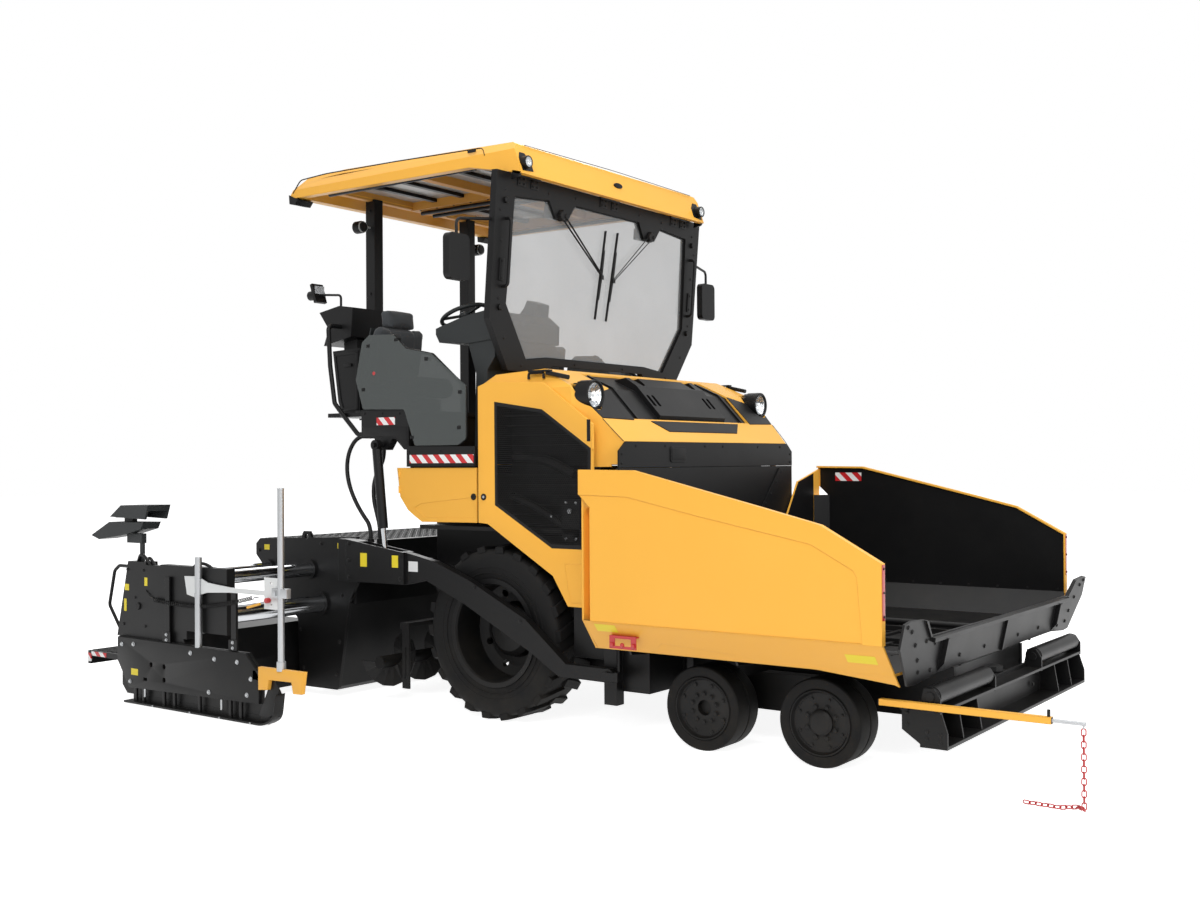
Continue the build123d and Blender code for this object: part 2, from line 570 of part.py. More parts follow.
# --- platform ----------------------------------------------------------------
def platform():
    """Deck of the operator stand with its side boxes, lockers and trays."""
    pieces = [block((-760, -125), (-1200, 1200), (1696, 1722)),
              block((-1600, -700), (-1180, 1180), (2060, 2090)),
              block((-1860, -1600), (-620, 620), (2060, 2090)),
              block((-760, -740), (-1180, 1180), (1640, 2065)),
              block((-880, -740), (-755, 755), (1640, 1665))]
    for s in (-1, 1):
        pieces.append(plate([(-760, 1696), (-125, 1696), (-125, 1832), (-760, 1840)],
                            (s * 1200, s * 1216)))
        pieces.append(plate([(-1209, 1900), (-993, 1900), (-869, 1892), (-782, 1816), (-740, 1816),
                             (-740, 2094), (-780, 2094), (-1209, 2103)], (s * 1060, s * 1216)))
        pieces.append(plate([(-1500, 2062), (-740, 2062), (-740, 1650), (-880, 1650), (-1050, 1830)],
                            (s * 700, s * 730)))
        # hanger of the lift cylinder
        pieces.append(plate([(-1080, 1902), (-900, 1896), (-960, 1815), (-1040, 1815)],
                            (s * 1150, s * 1216)))
        pieces.append(rod((lift_top[0], s * 1210, lift_top[1]), (lift_top[0], s * 1312, lift_top[1]),
                          lift_top_pin))
        # locker behind the seats, with its leaning tray on top
        pieces.append(plate([(-1687, 2564), (-1399, 2575), (-1403, 2088), (-1590, 2088), (-1631, 2186)],
                            (s * 610, s * 1050)))
        pieces.append(plate([(-1800, 2860), (-1584, 2897), (-1440, 2876), (-1460, 2660), (-1752, 2606),
                             (-1700, 2730)], (s * 610, s * 1080)))
        pieces.append(block((-1640, -1500), (s * 640, s * 980), (2560, 2650)))
        # glands for the screed hoses
        pieces.append(rod((-1205, s * 1130, 1925), (-1210, s * 1130, 1925), 26))
        pieces.append(rod((-1110, s * 1090, 1826), (-1110, s * 1090, 1902), 26))
    return fused(*pieces)


def console():
    """Dashboard on its pedestal, with the steering column on the right and a display hood."""
    pedestal = plate([(-250, 1722), (-130, 1722), (-130, 2350), (-60, 2440), (-60, 2600), (-320, 2600),
                      (-230, 2330)], (-1080, -420))
    top = plate([(-594, 2618), (-560, 2560), (-300, 2540), (-40, 2560), (-34, 2690), (-120, 2760),
                 (-330, 2730), (-594, 2660)], (-1090, -400))
    column = rod((-560, -760, 2650), (-607, -760, 2762), 30)
    display = plate([(-330, 2725), (-120, 2755), (-110, 2850), (-200, 2880), (-236, 2820)], (-560, -420))
    return fused(pedestal, top, column, display)


def steering_wheel():
    centre = Vector(-611, -760, 2770)
    tilt = -22.7
    ring = Torus(172, 15)
    hub = Cylinder(42, 26)
    spokes = [Rot(0, 0, a) * (Pos(88, 0, 0) * Box(170, 26, 12)) for a in (0, 120, 240)]
    wheel = fused(ring, hub, *spokes)
    return Pos(*centre) * (Rot(0, tilt, 0) * (Pos(0, 0, 14) * wheel))


def seats():
    """Two seats that stand apart, each with a pedestal, arm rests and head rest."""
    chairs = []
    for s in (-1, 1):
        base = block((-1220, -900), (s * 720, s * 1040), (2090, 2200))
        cushion = plate([(-1290, 2200), (-820, 2200), (-800, 2280), (-850, 2340), (-1290, 2320)],
                        (s * 640, s * 1120))
        back = plate([(-1290, 2260), (-1180, 2260), (-1130, 2500), (-1110, 2700), (-1150, 2730),
                      (-1200, 2709), (-1260, 2600)], (s * 640, s * 1120))
        rest = plate([(-1215, 2690), (-1115, 2690), (-1130, 2830), (-1150, 2845), (-1215, 2845),
                      (-1230, 2825)], (s * 740, s * 1020))
        chairs.append(fused(base, cushion, back, rest))
    return Compound(chairs)


# --- canopy ------------------------------------------------------------------
def canopy_roof():
    outline = [(239, 3631), (165, 3842), (123, 3862), (-391, 3880), (-1542, 3915), (-1929, 3898),
               (-2043, 3760), (-2020, 3740), (-1851, 3740), (-218, 3728), (150, 3650), (205, 3628)]
    under = [(150, 3600), (130, 3690), (-218, 3760), (-391, 3846), (-1542, 3880), (-1900, 3864),
             (-1960, 3700), (-1000, 3600)]
    roof = plate(outline, (-roof_half, roof_half)) - plate(under, (-roof_half + 60, roof_half - 60))
    for s in (-1, 1):
        edge = plate([(s * (roof_half + 1), 3800), (s * (roof_half + 1), 3950),
                      (s * (roof_half - 120), 3950), (s * (roof_half - 60), 3870)],
                     (-2100, 300), plane="yz")
        roof = roof - edge
    for s in (-1, 1):
        roof = roof - rod((158, s * 1091, 3712), (300, s * 1091, 3712), 41)
    bars = [block((x, x + 50), (-roof_half + 55, roof_half - 55), (3790, 3835)) for x in (-1780, -900, -150)]
    return fused(roof, *bars)


def canopy_frame():
    """Rear posts, the bent rails behind the lockers and the tube along each side shield."""
    pieces = []
    rail = [(-1209, 1930), (-1262, 1930), (-1413, 2070), (-1507, 2164), (-1553, 2442), (-1571, 2740)]
    edge = [(-900, 2627), (-770, 2519), (-516, 2468), (-309, 2302), (-214, 2232), (-212, 1890), (-270, 1850)]
    for s in (-1, 1):
        y = s * (body_half - 1)
        pieces.append(block((-1808, -1712), (s * 500, s * 590), (2091, 3789)))
        route = [(x, y, z) for x, z in rail] + [(rail[-1][0], s * 1080, rail[-1][1])]
        pieces.append(pipe(route, 17, 40))
        pieces.append(pipe([(x, s * 1205, z) for x, z in edge], 12, 30))
    return Compound(pieces)


def windscreen_frame():
    """Frame round the front pane, with a lobe at the top for each wiper."""
    outer = [(0, 2400), (560, 2400), (620, 2345), (1042, 2345), (1260, 2675), (1263, 3658), (0, 3658)]
    inner = [(0, 2450), (620, 2450), (852, 2425), (1100, 2790), (1069, 3510), (700, 3540),
             (620, 3430), (480, 3430), (400, 3550), (0, 3550)]
    full = [outer, inner]
    rings = [half[1:] + [(-a, b) for a, b in reversed(half[1:])] for half in full]
    frame = plate(rings[0], (-25, 25), plane="yz") - plate(rings[1], (-40, 40), plane="yz")
    for s in (-1, 1):
        grab = pipe([(20, s * 1150, 2900), (75, s * 1150, 2900), (75, s * 1150, 3350),
                     (20, s * 1150, 3350)], 11, 30)
        frame = frame.fuse(grab)
    return Pos(-5, 0, 2345) * (Rot(0, screen_lean, 0) * (Pos(0, 0, -2345) * frame))


def windscreen_glass():
    inner = [(620, 2450), (852, 2425), (1100, 2790), (1069, 3510), (700, 3540), (620, 3430),
             (480, 3430), (400, 3550)]
    ring = inner + [(-a, b) for a, b in reversed(inner)]
    pane = plate(ring, (-4, 4), plane="yz")
    return Pos(-5, 0, 2345) * (Rot(0, screen_lean, 0) * (Pos(0, 0, -2345) * pane))


def side_shields():
    outline = [(-1117, 2639), (-876, 2628), (-755, 2521), (-516, 2476), (-198, 2242), (-200, 1882),
               (-273, 1842), (-673, 1842), (-775, 2097), (-1185, 2108), (-1257, 2323), (-1191, 2590)]
    return Compound([plate(outline, (s * 1218, s * 1224), radius=22) for s in (-1, 1)])


def mirrors():
    """Outer mirrors on bent arms, and a small round-backed one behind the right locker."""
    pieces = []
    for s in (-1, 1):
        head = plate([(s * 1440, 2900), (s * 1640, 2900), (s * 1640, 3200), (s * 1440, 3200)],
                     (-12, 40), radius=40, plane="yz")
        glass = plate([(s * 1454, 2914), (s * 1626, 2914), (s * 1626, 3186), (s * 1454, 3186)],
                      (-18, -11), radius=30, plane="yz")
        arm = pipe([(14, s * 1540, 3190), (14, s * 1540, 3300), (60, s * 1264, 3330)], 10, 40)
        pieces.append(fused(head, glass, arm))
    rear_arm = pipe([(-1650, -1000, 2890), (-1650, -1000, 2990), (-1880, -1000, 3010)], 9, 30)
    rear_head = Pos(-1900, -1000, 3020) * (Rot(0, -18, 0) * Box(26, 110, 150))
    rear_lamp = rod((-1990, -1000, 3010), (-1905, -1000, 3010), 36)
    pieces.append(fused(rear_arm, rear_head, rear_lamp))
    return Compound(pieces)


# --- auger and screed --------------------------------------------------------
def auger_carrier():
    """Gearbox between the augers, its beam and legs, and the slotted hangers at their ends."""
    gearbox = block((-1110, -990), (-42, 42), (240, 556))
    beam = block((-990, -880), (-700, 700), (490, 556))
    legs = [block((-900, -880), (s * 600, s * 700), (540, 1070)) for s in (-1, 1)]
    stubs = rod((auger_x, -90, auger_z), (auger_x, 90, auger_z), auger_stub)
    pieces = [fused(gearbox, beam, stubs, *legs)]
    for s in (-1, 1):
        hanger = plate([(-832, 140), (-768, 140), (-768, 600), (-850, 600), (-850, 560), (-832, 540)],
                       (s * 1180, s * 1196))
        slot = block((-809, -791), (s * 1100, s * 1250), (210, 430))
        arm = block((-850, -768), (s * 786, s * 1196), (570, 600))
        pieces.append(fused(hanger - slot, arm))
    return Compound(pieces)


def auger(side):
    """Shaft with a screw flight of flat facets, drawn on the right."""
    shaft_radius, thick, steps, turns = 45, 12, 14, 3.5
    start, length = -58, 1130
    lead = length / turns
    hand = -1
    count = int(steps * turns)

    def point(k, radius, back):
        angle = 2 * pi * k / steps * hand
        y = start - lead * k / steps - back * thick
        return Vector(auger_x + radius * cos(angle), y, auger_z + radius * sin(angle))

    faces = []

    def quad(a, b, c, d):
        faces.append(Face(Wire.make_polygon([a, b, c])))
        faces.append(Face(Wire.make_polygon([a, c, d])))

    inner = shaft_radius - 12
    for k in range(count):
        ring = [[point(k + d, r, back) for r in (inner, auger_radius)] for back in (0, 1) for d in (0, 1)]
        (a0, b0), (a1, b1), (c0, d0), (c1, d1) = ring
        quad(a0, b0, b1, a1)
        quad(c0, c1, d1, d0)
        quad(b0, d0, d1, b1)
        quad(a0, a1, c1, c0)
    for k in (0, count):
        a, b, c, d = [point(k, r, back) for back in (0, 1) for r in (inner, auger_radius)]
        faces.append(Face(Wire.make_polygon([a, b, d])))
        faces.append(Face(Wire.make_polygon([a, d, c])))
    flight = Solid(Shell(faces))
    if flight.volume < 0:
        flight = Solid(Shell([-f for f in faces]))
    shaft = rod((auger_x, -46, auger_z), (auger_x, -1205, auger_z), shaft_radius)
    socket = rod((auger_x, 0, auger_z), (auger_x, -95, auger_z), auger_stub + clearance)
    return to_side(fused(shaft, flight) - socket, side)


def tow_arms():
    arms = []
    outline = [(-1262, 1180), (-712, 1107), (-433, 1055), (-110, 940), (369, 714), (697, 455),
               (1030, 452), (1066, 430), (1066, 385), (1040, 369), (640, 373), (409, 508),
               (-166, 787), (-501, 920), (-700, 880), (-1262, 880)]
    for s in (-1, 1):
        arm = plate(outline, (s * arm_inner, s * arm_outer))
        # box at the back, open on top for the lift cylinder
        back = [(-1262, 1180), (-690, 1104), (-690, 884), (-1262, 880)]
        arm = fused(arm, plate(back, (s * box_inner, s * box_outer)))
        arm = arm - block((-1150, -730), (s * (box_inner + 14), s * (box_outer - 14)), (892, 1250))
        pin = rod((lift_eye[0], s * 1222, lift_eye[1]), (lift_eye[0], s * 1318, lift_eye[1]), lift_pin)
        arm = fused(arm, pin)
        # fitting that the screed hoses run into
        arm = arm.fuse(block((-1180, -1080), (s * 1105, s * box_inner), (1100, 1155)))
        for x, y in hose_ends:
            arm = arm.fuse(rod((x, s * y, 1150), (x, s * y, 1180), 24))
        arm = arm - rod((tow_x, s * 1200, tow_z), (tow_x, s * 1330, tow_z), tow_pin + clearance)
        arms.append(arm)
    return Compound(arms)


def screed_frame():
    """Main screed: heated plate box, end plates, tubes' sleeves and the walkway on top."""
    side = [(-2377, 1027), (-2377, 1111), (-2330, 1150), (-1261, 1191), (-1261, 860), (-1343, 719),
            (-1461, 84), (-1880, 62), (-1900, 560)]
    pieces = [plate([(-1376, 700), (-1470, 90), (-1500, 62), (-1900, 58), (-1900, 420), (-1700, 560),
                     (-1520, 600), (-1400, 700)], (-1195, 1195))]
    for s in (-1, 1):
        pieces.append(plate(side, (s * 1190, s * screed_half)))
        pieces.append(block((-1340, -1262), (s * screed_half, s * box_outer), (880, 1180)))
        lug = plate([(-1868, 1130), (-1850, 1200), (-1836, 1218), (-1774, 1218), (-1760, 1200),
                     (-1738, 1130)], (s * 1190, s * 1212))
        pieces.append(lug)
        # guide sleeves of the telescoping tubes
        for x, z, r in telescopes:
            pieces.append(rod((x, s * 700, z), (x, s * 1190, z), r + 14))
            pieces.append(rod((x, s * 1190, z), (x, s * (screed_half + 18), z), r + 20))
        pieces.append(block((-2330, -1480), (s * 690, s * 710), (560, 1130)))
    pieces.append(block((-2340, -1300), (-1190, 1190), (1128, 1150)))
    pieces.append(block((-1330, -1300), (-1190, 1190), (700, 1130)))
    pieces.append(block((-1560, -1480), (-700, 700), (560, 720)))
    frame = fused(*pieces)
    for s in (-1, 1):
        for x, z, r in telescopes:
            frame = frame - rod((x, s * 600, z), (x, s * 1300, z), r + 1)
        frame = frame - rod((-1805, s * 1100, 1178), (-1805, s * 1300, 1178), lifting_eye)
    return frame


# telescoping tubes: x, z, radius
telescopes = ((-1757, 935, 48), (-2230, 920, 48), (-1640, 690, 62))


def extension(side):
    """Extending half of the screed, riding on three tubes; drawn on the right."""
    body = plate([(-1930, 60), (-2700, 60), (-2760, 120), (-2760, 420), (-2600, 520), (-2050, 520),
                  (-1930, 300)], (-950, -2128))
    tubes = [rod((x, -800, z), (x, -2100, z), r) for x, z, r in telescopes]
    cap = block((-2300, -1560), (-2060, -2128), (560, 1010))
    # tapered tower with a flange along each edge
    tower = plate([(-2822, 471), (-2686, 1020), (-2470, 1020), (-2418, 471)], (-2104, -2128))
    flanges = [plate([(-2822, 471), (-2686, 1020), (-2670, 1020), (-2804, 471)], (-2030, -2128)),
               plate([(-2434, 471), (-2486, 1020), (-2470, 1020), (-2418, 471)], (-2030, -2128)),
               block((-2686, -2470), (-2030, -2128), (1006, 1020))]
    # grab bar behind the tower
    line = [(-2680, 980), (-2815, 981), (-2874, 942), (-2942, 687), (-2790, 500)]
    grab = pipe([(x, -2112, z) for x, z in line], 12, 40)
    link = block((-2500, -2200), (-2080, -2128), (500, 1000))
    base = block((-2300, -2000), (-2060, -2128), (500, 600))
    step = block((-3190, -2760), (-1180, -2128), (290, 330))
    lip = block((-3196, -3160), (-1180, -2128), (232, 330))
    return to_side(fused(body, cap, tower, grab, link, base, step, lip, *flanges, *tubes), side)


def end_gate(side):
    """Plate that closes the end of the mat, on a ski, with its posts and the grade sensor."""
    y0 = -extension_half + 20
    backing = plate([(-2690, 30), (-2690, 440), (-1340, 440), (-1196, 310), (-1196, 30)], (y0, y0 - 20))
    gate = plate([(-2766, 474), (-1308, 467), (-1166, 332), (-1168, 140), (-2625, 112), (-2767, 300)],
                 (y0 - 20, y0 - 42))
    # lower part: stiffening ribs between the gate and the ski
    ribs = [block((x, x + 26), (y0 - 19, y0 - 34), (14, 145))
            for x in (-2560, -2470, -2230, -2110, -1830, -1500, -1390)]
    nose = [(-2650, 7), (-1120, 7), (-1010, 60), (-985, 228)]
    ski = bent_strip(nose, (y0 + 16, y0 - 62), 14, 50)
    ledge = block((-2650, -1130), (y0 + 16, y0), (7, 60))
    rounded = plate([(-1196, 30), (-1196, 310), (-1060, 310), (-1000, 228), (-1030, 72), (-1130, 30)],
                    (y0, y0 - 14))
    posts = [block((x - 25, x + 25), (y0, y0 - 20), (440, z)) for x, z in ((-2191, 929), (-1463, 858))]
    # grade pole, its carriage arm and the sensor's rod with a fork shaped bar at the foot
    pole = rod((-1827, y0 - 28, 460), (-1827, y0 - 28, 1083), 24)
    collar = rod((-1827, y0 - 28, 806), (-1827, y0 - 28, 836), 27)
    arm = plate([(-1988, 945), (-1961, 820), (-1890, 806), (-1741, 843), (-1493, 857), (-1120, 856),
                 (-1120, 888), (-1493, 890), (-1741, 911), (-1850, 950)], (y0 - 10, y0 - 24))
    clamp = plate([(-1140, 976), (-1000, 976), (-1030, 873), (-1000, 770), (-1140, 770), (-1110, 873)],
                  (y0 - 14, y0 - 26))
    carriage = block((-1033, -880), (y0 - 20, y0 - 58), (851, 915))
    grade = rod((-956, y0 - 40, 395), (-956, y0 - 40, 1564), 22)
    foot = rod((-956, y0 - 40, 380), (-956, y0 - 40, 442), 30)
    bar = plate([(-1168, 391), (-1169, 239), (-1078, 248), (-1061, 314), (-843, 319), (-828, 246),
                 (-749, 249), (-724, 394)], (y0 - 24, y0 - 56))
    stay = block((-1240, -1150), (y0 - 20, y0 - 30), (300, 360))
    return to_side(fused(backing, gate, ski, ledge, rounded, *ribs, *posts, pole, collar, arm, clamp,
                         carriage, grade, foot, bar, stay), side)


def screed_console(side):
    """Control box under its sun shade, on a stalk from the tower."""
    stalk = rod((-2600, -2066, 1020), (-2600, -2066, 1180), 18)
    neck = block((-2760, -2580), (-2046, -2086), (1150, 1220))
    box = plate([(-3150, 1196), (-2920, 1300), (-2500, 1306), (-2530, 1256), (-2760, 1206), (-3050, 1168)],
                (-1980, -2128))
    post = block((-2800, -2700), (-2040, -2080), (1290, 1350))
    shade = plate([(-2878, 1340), (-2743, 1426), (-2412, 1431), (-2452, 1328)], (-1960, -2150))
    shade = shade - plate([(-2860, 1300), (-2743, 1400), (-2440, 1404), (-2380, 1300)], (-1976, -2134))
    shade = shade + block((-2830, -2700), (-1976, -2134), (1334, 1346))
    return to_side(fused(stalk, neck, box, post, shade), side)


# --- lift cylinders ----------------------------------------------------------
def lift_point(distance, side=-1):
    """Point on the cylinder's centre line at a distance from its top pin."""
    dx, dz = lift_eye[0] - lift_top[0], lift_eye[1] - lift_top[1]
    length = hypot(dx, dz)
    return (lift_top[0] + dx / length * distance, side * lift_y, lift_top[1] + dz / length * distance)


def lift_barrel(side):
    tube = rod(lift_point(30), lift_point(590), 34) - rod(lift_point(70), lift_point(575), 26)
    tube = tube - rod(lift_point(560), lift_point(600), 18 + clearance)
    eye = rod((lift_top[0], -lift_y - 24, lift_top[1]), (lift_top[0], -lift_y + 24, lift_top[1]), 36)
    whole = fused(tube, eye) - rod((lift_top[0], -1200, lift_top[1]), (lift_top[0], -1330, lift_top[1]),
                                   lift_top_pin + clearance)
    return to_side(whole, side)


def lift_rod(side):
    length = hypot(lift_eye[0] - lift_top[0], lift_eye[1] - lift_top[1])
    bar = rod(lift_point(450), lift_point(length - 15), 18)
    eye = rod((lift_eye[0], -lift_y - 20, lift_eye[1]), (lift_eye[0], -lift_y + 20, lift_eye[1]), 30)
    bore = rod((lift_eye[0], -1200, lift_eye[1]), (lift_eye[0], -1330, lift_eye[1]), lift_pin + eye_play)
    return to_side(fused(bar, eye) - bore, side)


# --- hoses from the platform to the screed ------------------------------------
hose_radius = 15
hose_routes = {
    "outer": [(-1210, -1130, 1925), (-1325, -1130, 1925), (-1420, -1134, 1830), (-1446, -1142, 1700),
              (-1412, -1152, 1570), (-1335, -1164, 1450), (-1242, -1176, 1350), (-1150, -1185, 1270),
              (-1150, -1185, 1180)],
    "inner": [(-1110, -1090, 1826), (-1110, -1090, 1748), (-1176, -1096, 1660), (-1206, -1104, 1555),
              (-1190, -1116, 1450), (-1146, -1128, 1355), (-1108, -1135, 1262), (-1108, -1135, 1180)],
}


def hose(route):
    """Round hose: each bend takes 0.45 of the shorter of its two runs."""
    points = [Vector(*p) for p in route]
    radii = []
    for a, b, c in zip(points, points[1:], points[2:]):
        turn = radians((b - a).get_angle(c - b))
        radii.append(0.45 * min((b - a).length, (c - b).length) / tan(turn / 2))
    path = FilletPolyline(*points, radius=radii)
    print("hose bends", [round(r) for r in radii], "length", round(path.length))
    tube = sweep(Plane(origin=path @ 0, z_dir=path % 0) * Circle(hose_radius), path=path)
    print("volume over section times length", round(tube.volume / (pi * hose_radius ** 2 * path.length), 4))
    return tube


single = {
    "chassis": chassis, "bogie_beams": bogie_beams, "conveyor_floor": conveyor_floor,
    "engine_block": engine_block, "hood_shell": hood_shell, "cowl": cowl, "lamps": lamps,
    "platform": platform, "console": console, "seats": seats, "canopy_roof": canopy_roof,
    "canopy_frame": canopy_frame, "windscreen_frame": windscreen_frame,
    "windscreen_glass": windscreen_glass, "side_shields": side_shields, "mirrors": mirrors,
    "auger_carrier": auger_carrier, "steering_wheel": steering_wheel, "hopper_apron": apron,
    "push_beam": push_beam, "guide_rod": guide_rod, "guide_chain": guide_chain,
    "tow_arms": tow_arms, "screed_frame": screed_frame,
}
paired = {
    "drive_tyre": drive_tyre, "drive_rim": drive_rim, "hopper_wing": hopper_wing,
    "push_roller": push_roller, "side_door": side_door, "rear_door": rear_door,
    "screed_extension": extension, "end_gate": end_gate, "screed_console": screed_console,
    "auger": auger, "lift_barrel": lift_barrel, "lift_rod": lift_rod,
}
for name, make in single.items():
    parts[name] = make()
for name, make in paired.items():
    for side_name, side in both_sides.items():
        parts[f"{name}_{side_name}"] = make(side)
for route_name, route in hose_routes.items():
    for side_name, side in both_sides.items():
        parts[f"screed_hose_{route_name}_{side_name}"] = to_side(hose(route), side)
for place, x in front_axles.items():
    for side_name, side in both_sides.items():
        parts[f"knuckle_{place}_{side_name}"] = knuckle(side, x)
        parts[f"front_wheel_{place}_{side_name}"] = front_wheel(side, x, place == "front")

os.makedirs("parts", exist_ok=True)
for name, solid in parts.items():
    export_step(Pos(frame_shift, 0, 0) * solid, f"parts/{name}.step")
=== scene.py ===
import json
import random
from math import cos, pi, radians, sin, sqrt
import bmesh
import bpy
from mathutils import Matrix, Vector


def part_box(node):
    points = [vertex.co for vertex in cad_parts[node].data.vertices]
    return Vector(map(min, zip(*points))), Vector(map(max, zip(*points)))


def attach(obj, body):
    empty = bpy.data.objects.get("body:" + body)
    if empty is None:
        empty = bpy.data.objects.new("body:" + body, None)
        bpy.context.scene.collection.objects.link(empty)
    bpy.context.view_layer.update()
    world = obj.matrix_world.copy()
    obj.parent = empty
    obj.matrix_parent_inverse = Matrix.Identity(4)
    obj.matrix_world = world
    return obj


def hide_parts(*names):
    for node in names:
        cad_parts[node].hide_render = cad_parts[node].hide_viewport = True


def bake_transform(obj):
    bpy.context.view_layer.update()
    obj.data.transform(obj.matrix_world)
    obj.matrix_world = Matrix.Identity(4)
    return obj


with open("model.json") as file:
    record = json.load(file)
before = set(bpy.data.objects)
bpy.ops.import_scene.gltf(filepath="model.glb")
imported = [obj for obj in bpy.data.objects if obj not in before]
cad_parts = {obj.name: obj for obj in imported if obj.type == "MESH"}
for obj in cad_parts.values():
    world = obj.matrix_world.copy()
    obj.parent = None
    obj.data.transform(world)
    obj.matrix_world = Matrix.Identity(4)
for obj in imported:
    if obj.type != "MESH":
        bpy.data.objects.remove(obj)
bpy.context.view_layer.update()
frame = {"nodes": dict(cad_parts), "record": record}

# Wheeled asphalt paver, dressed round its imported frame. Metres, +X to the hopper, +Y left, ground at 0.
# Plans below are drawn in millimetres from the drive axle and moved by axleX.

random.seed(12)
scene = bpy.context.scene
tyreLow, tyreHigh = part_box("drive_tyre_right")
axleX = (tyreLow.x + tyreHigh.x) / 2
sides = {"right": -1, "left": 1}


def at(x, y, z):  # millimetres from the drive axle to metres in the frame
    return Vector((x / 1000 + axleX, y / 1000, z / 1000))


def ink(r, g, b):  # screen colour 0..255 to linear
    def lin(c):
        c /= 255
        return c / 12.92 if c <= 0.04045 else ((c + 0.055) / 1.055) ** 2.4
    return (lin(r), lin(g), lin(b), 1.0)


def addNode(tree, kind, values=(), **settings):
    node = tree.nodes.new(kind)
    for name, value in settings.items():
        setattr(node, name, value)
    for name, value in dict(values).items():
        node.inputs[name].default_value = value
    return node


def mathNode(tree, operation, a, b=None, clamp=False):
    node = addNode(tree, "ShaderNodeMath", operation=operation, use_clamp=clamp)
    for i, v in enumerate((a, b)):
        if v is None:
            continue
        if isinstance(v, (int, float)):
            node.inputs[i].default_value = v
        else:
            tree.links.new(v, node.inputs[i])
    return node.outputs[0]


cameraSet = {
    "place": (5639.1, -7719.9, 1728.0), "yaw": 2.199295, "pitch": 0.0084465, "roll": -0.0063672,
    "lens": 38.72, "sensor": 36.0, "reach": 200,
}


def makeCamera(v):
    data = bpy.data.cameras.new("camera")
    data.lens, data.sensor_width, data.clip_end = v["lens"], v["sensor"], v["reach"]
    cam = bpy.data.objects.new("camera", data)
    scene.collection.objects.link(cam)
    look = Vector((cos(v["pitch"]) * cos(v["yaw"]), cos(v["pitch"]) * sin(v["yaw"]), sin(v["pitch"])))
    right = look.cross(Vector((0, 0, 1))).normalized()
    up = right.cross(look)
    c, s = cos(v["roll"]), sin(v["roll"])
    right, up = c * right + s * up, c * up - s * right
    turn = Matrix((right, up, -look)).transposed().to_4x4()
    cam.matrix_world = Matrix.Translation(at(*v["place"])) @ turn
    scene.camera = cam


studio = {
    "sky": 0.44, "floorColour": (0.86, 0.86, 0.86, 1), "floorLift": 0.9, "floorHalf": 60,
    "lamps": (  # name, place, size, strength, aimed at
        ("keyLamp", (4.5, -8.5, 7.5), 6.0, 620, (0, 0, 1.0)),
        ("frontLamp", (9.5, -1.0, 5.0), 5.0, 300, (0, 0, 1.2)),
        ("backLamp", (-7.5, 6.5, 6.5), 6.0, 330, (0, 0, 1.2)),
        ("topLamp", (0.0, 0.0, 9.0), 7.0, 260, (0, 0, 0)),
    ),
}
white = (1, 1, 1, 1)


def seenRays(tree):  # 1 for camera, glossy and transmission rays
    path = tree.nodes.new("ShaderNodeLightPath")
    total = path.outputs["Is Camera Ray"]
    for name in ("Is Glossy Ray", "Is Transmission Ray"):
        total = mathNode(tree, "ADD", total, path.outputs[name], True)
    return total


def makeSky(strength):  # white where it is seen, dimmer where it only lights
    world = bpy.data.worlds.new("studio")
    world.use_nodes = True
    scene.world = world
    tree = world.node_tree
    tree.nodes.clear()
    soft = addNode(tree, "ShaderNodeBackground", {"Color": white, "Strength": strength})
    seen = addNode(tree, "ShaderNodeBackground", {"Color": white, "Strength": 1.0})
    mix = addNode(tree, "ShaderNodeMixShader")
    out = addNode(tree, "ShaderNodeOutputWorld")
    tree.links.new(seenRays(tree), mix.inputs[0])
    tree.links.new(soft.outputs[0], mix.inputs[1])
    tree.links.new(seen.outputs[0], mix.inputs[2])
    tree.links.new(mix.outputs[0], out.inputs[0])


def makeFloor(v):
    ground = bpy.data.materials.new("studioFloor")
    ground.use_nodes = True
    tree = ground.node_tree
    tree.nodes.clear()
    plain = addNode(tree, "ShaderNodeBsdfDiffuse", {"Color": v["floorColour"]})
    lift = addNode(tree, "ShaderNodeEmission", {"Color": white})
    tree.links.new(mathNode(tree, "MULTIPLY", seenRays(tree), v["floorLift"]), lift.inputs["Strength"])
    add = addNode(tree, "ShaderNodeAddShader")
    out = addNode(tree, "ShaderNodeOutputMaterial")
    tree.links.new(plain.outputs[0], add.inputs[0])
    tree.links.new(lift.outputs[0], add.inputs[1])
    tree.links.new(add.outputs[0], out.inputs[0])
    mesh = bpy.data.meshes.new("floor")
    h = v["floorHalf"]
    mesh.from_pydata([(-h, -h, 0), (h, -h, 0), (h, h, 0), (-h, h, 0)], [], [(0, 1, 2, 3)])
    mesh.materials.append(ground)
    floor = bpy.data.objects.new("floor", mesh)
    scene.collection.objects.link(floor)


def makeStudio(v):
    makeSky(v["sky"])
    makeFloor(v)
    for name, place, size, power, aim in v["lamps"]:
        data = bpy.data.lights.new(name, "AREA")
        data.shape, data.size, data.energy = "DISK", size, power
        lamp = bpy.data.objects.new(name, data)
        lamp.location = place
        lamp.rotation_mode = "QUATERNION"
        lamp.rotation_quaternion = (Vector(aim) - Vector(place)).to_track_quat("-Z", "Y")
        scene.collection.objects.link(lamp)
    scene.view_settings.view_transform = "Standard"


makeCamera(cameraSet)
makeStudio(studio)
print("camera and studio ready")


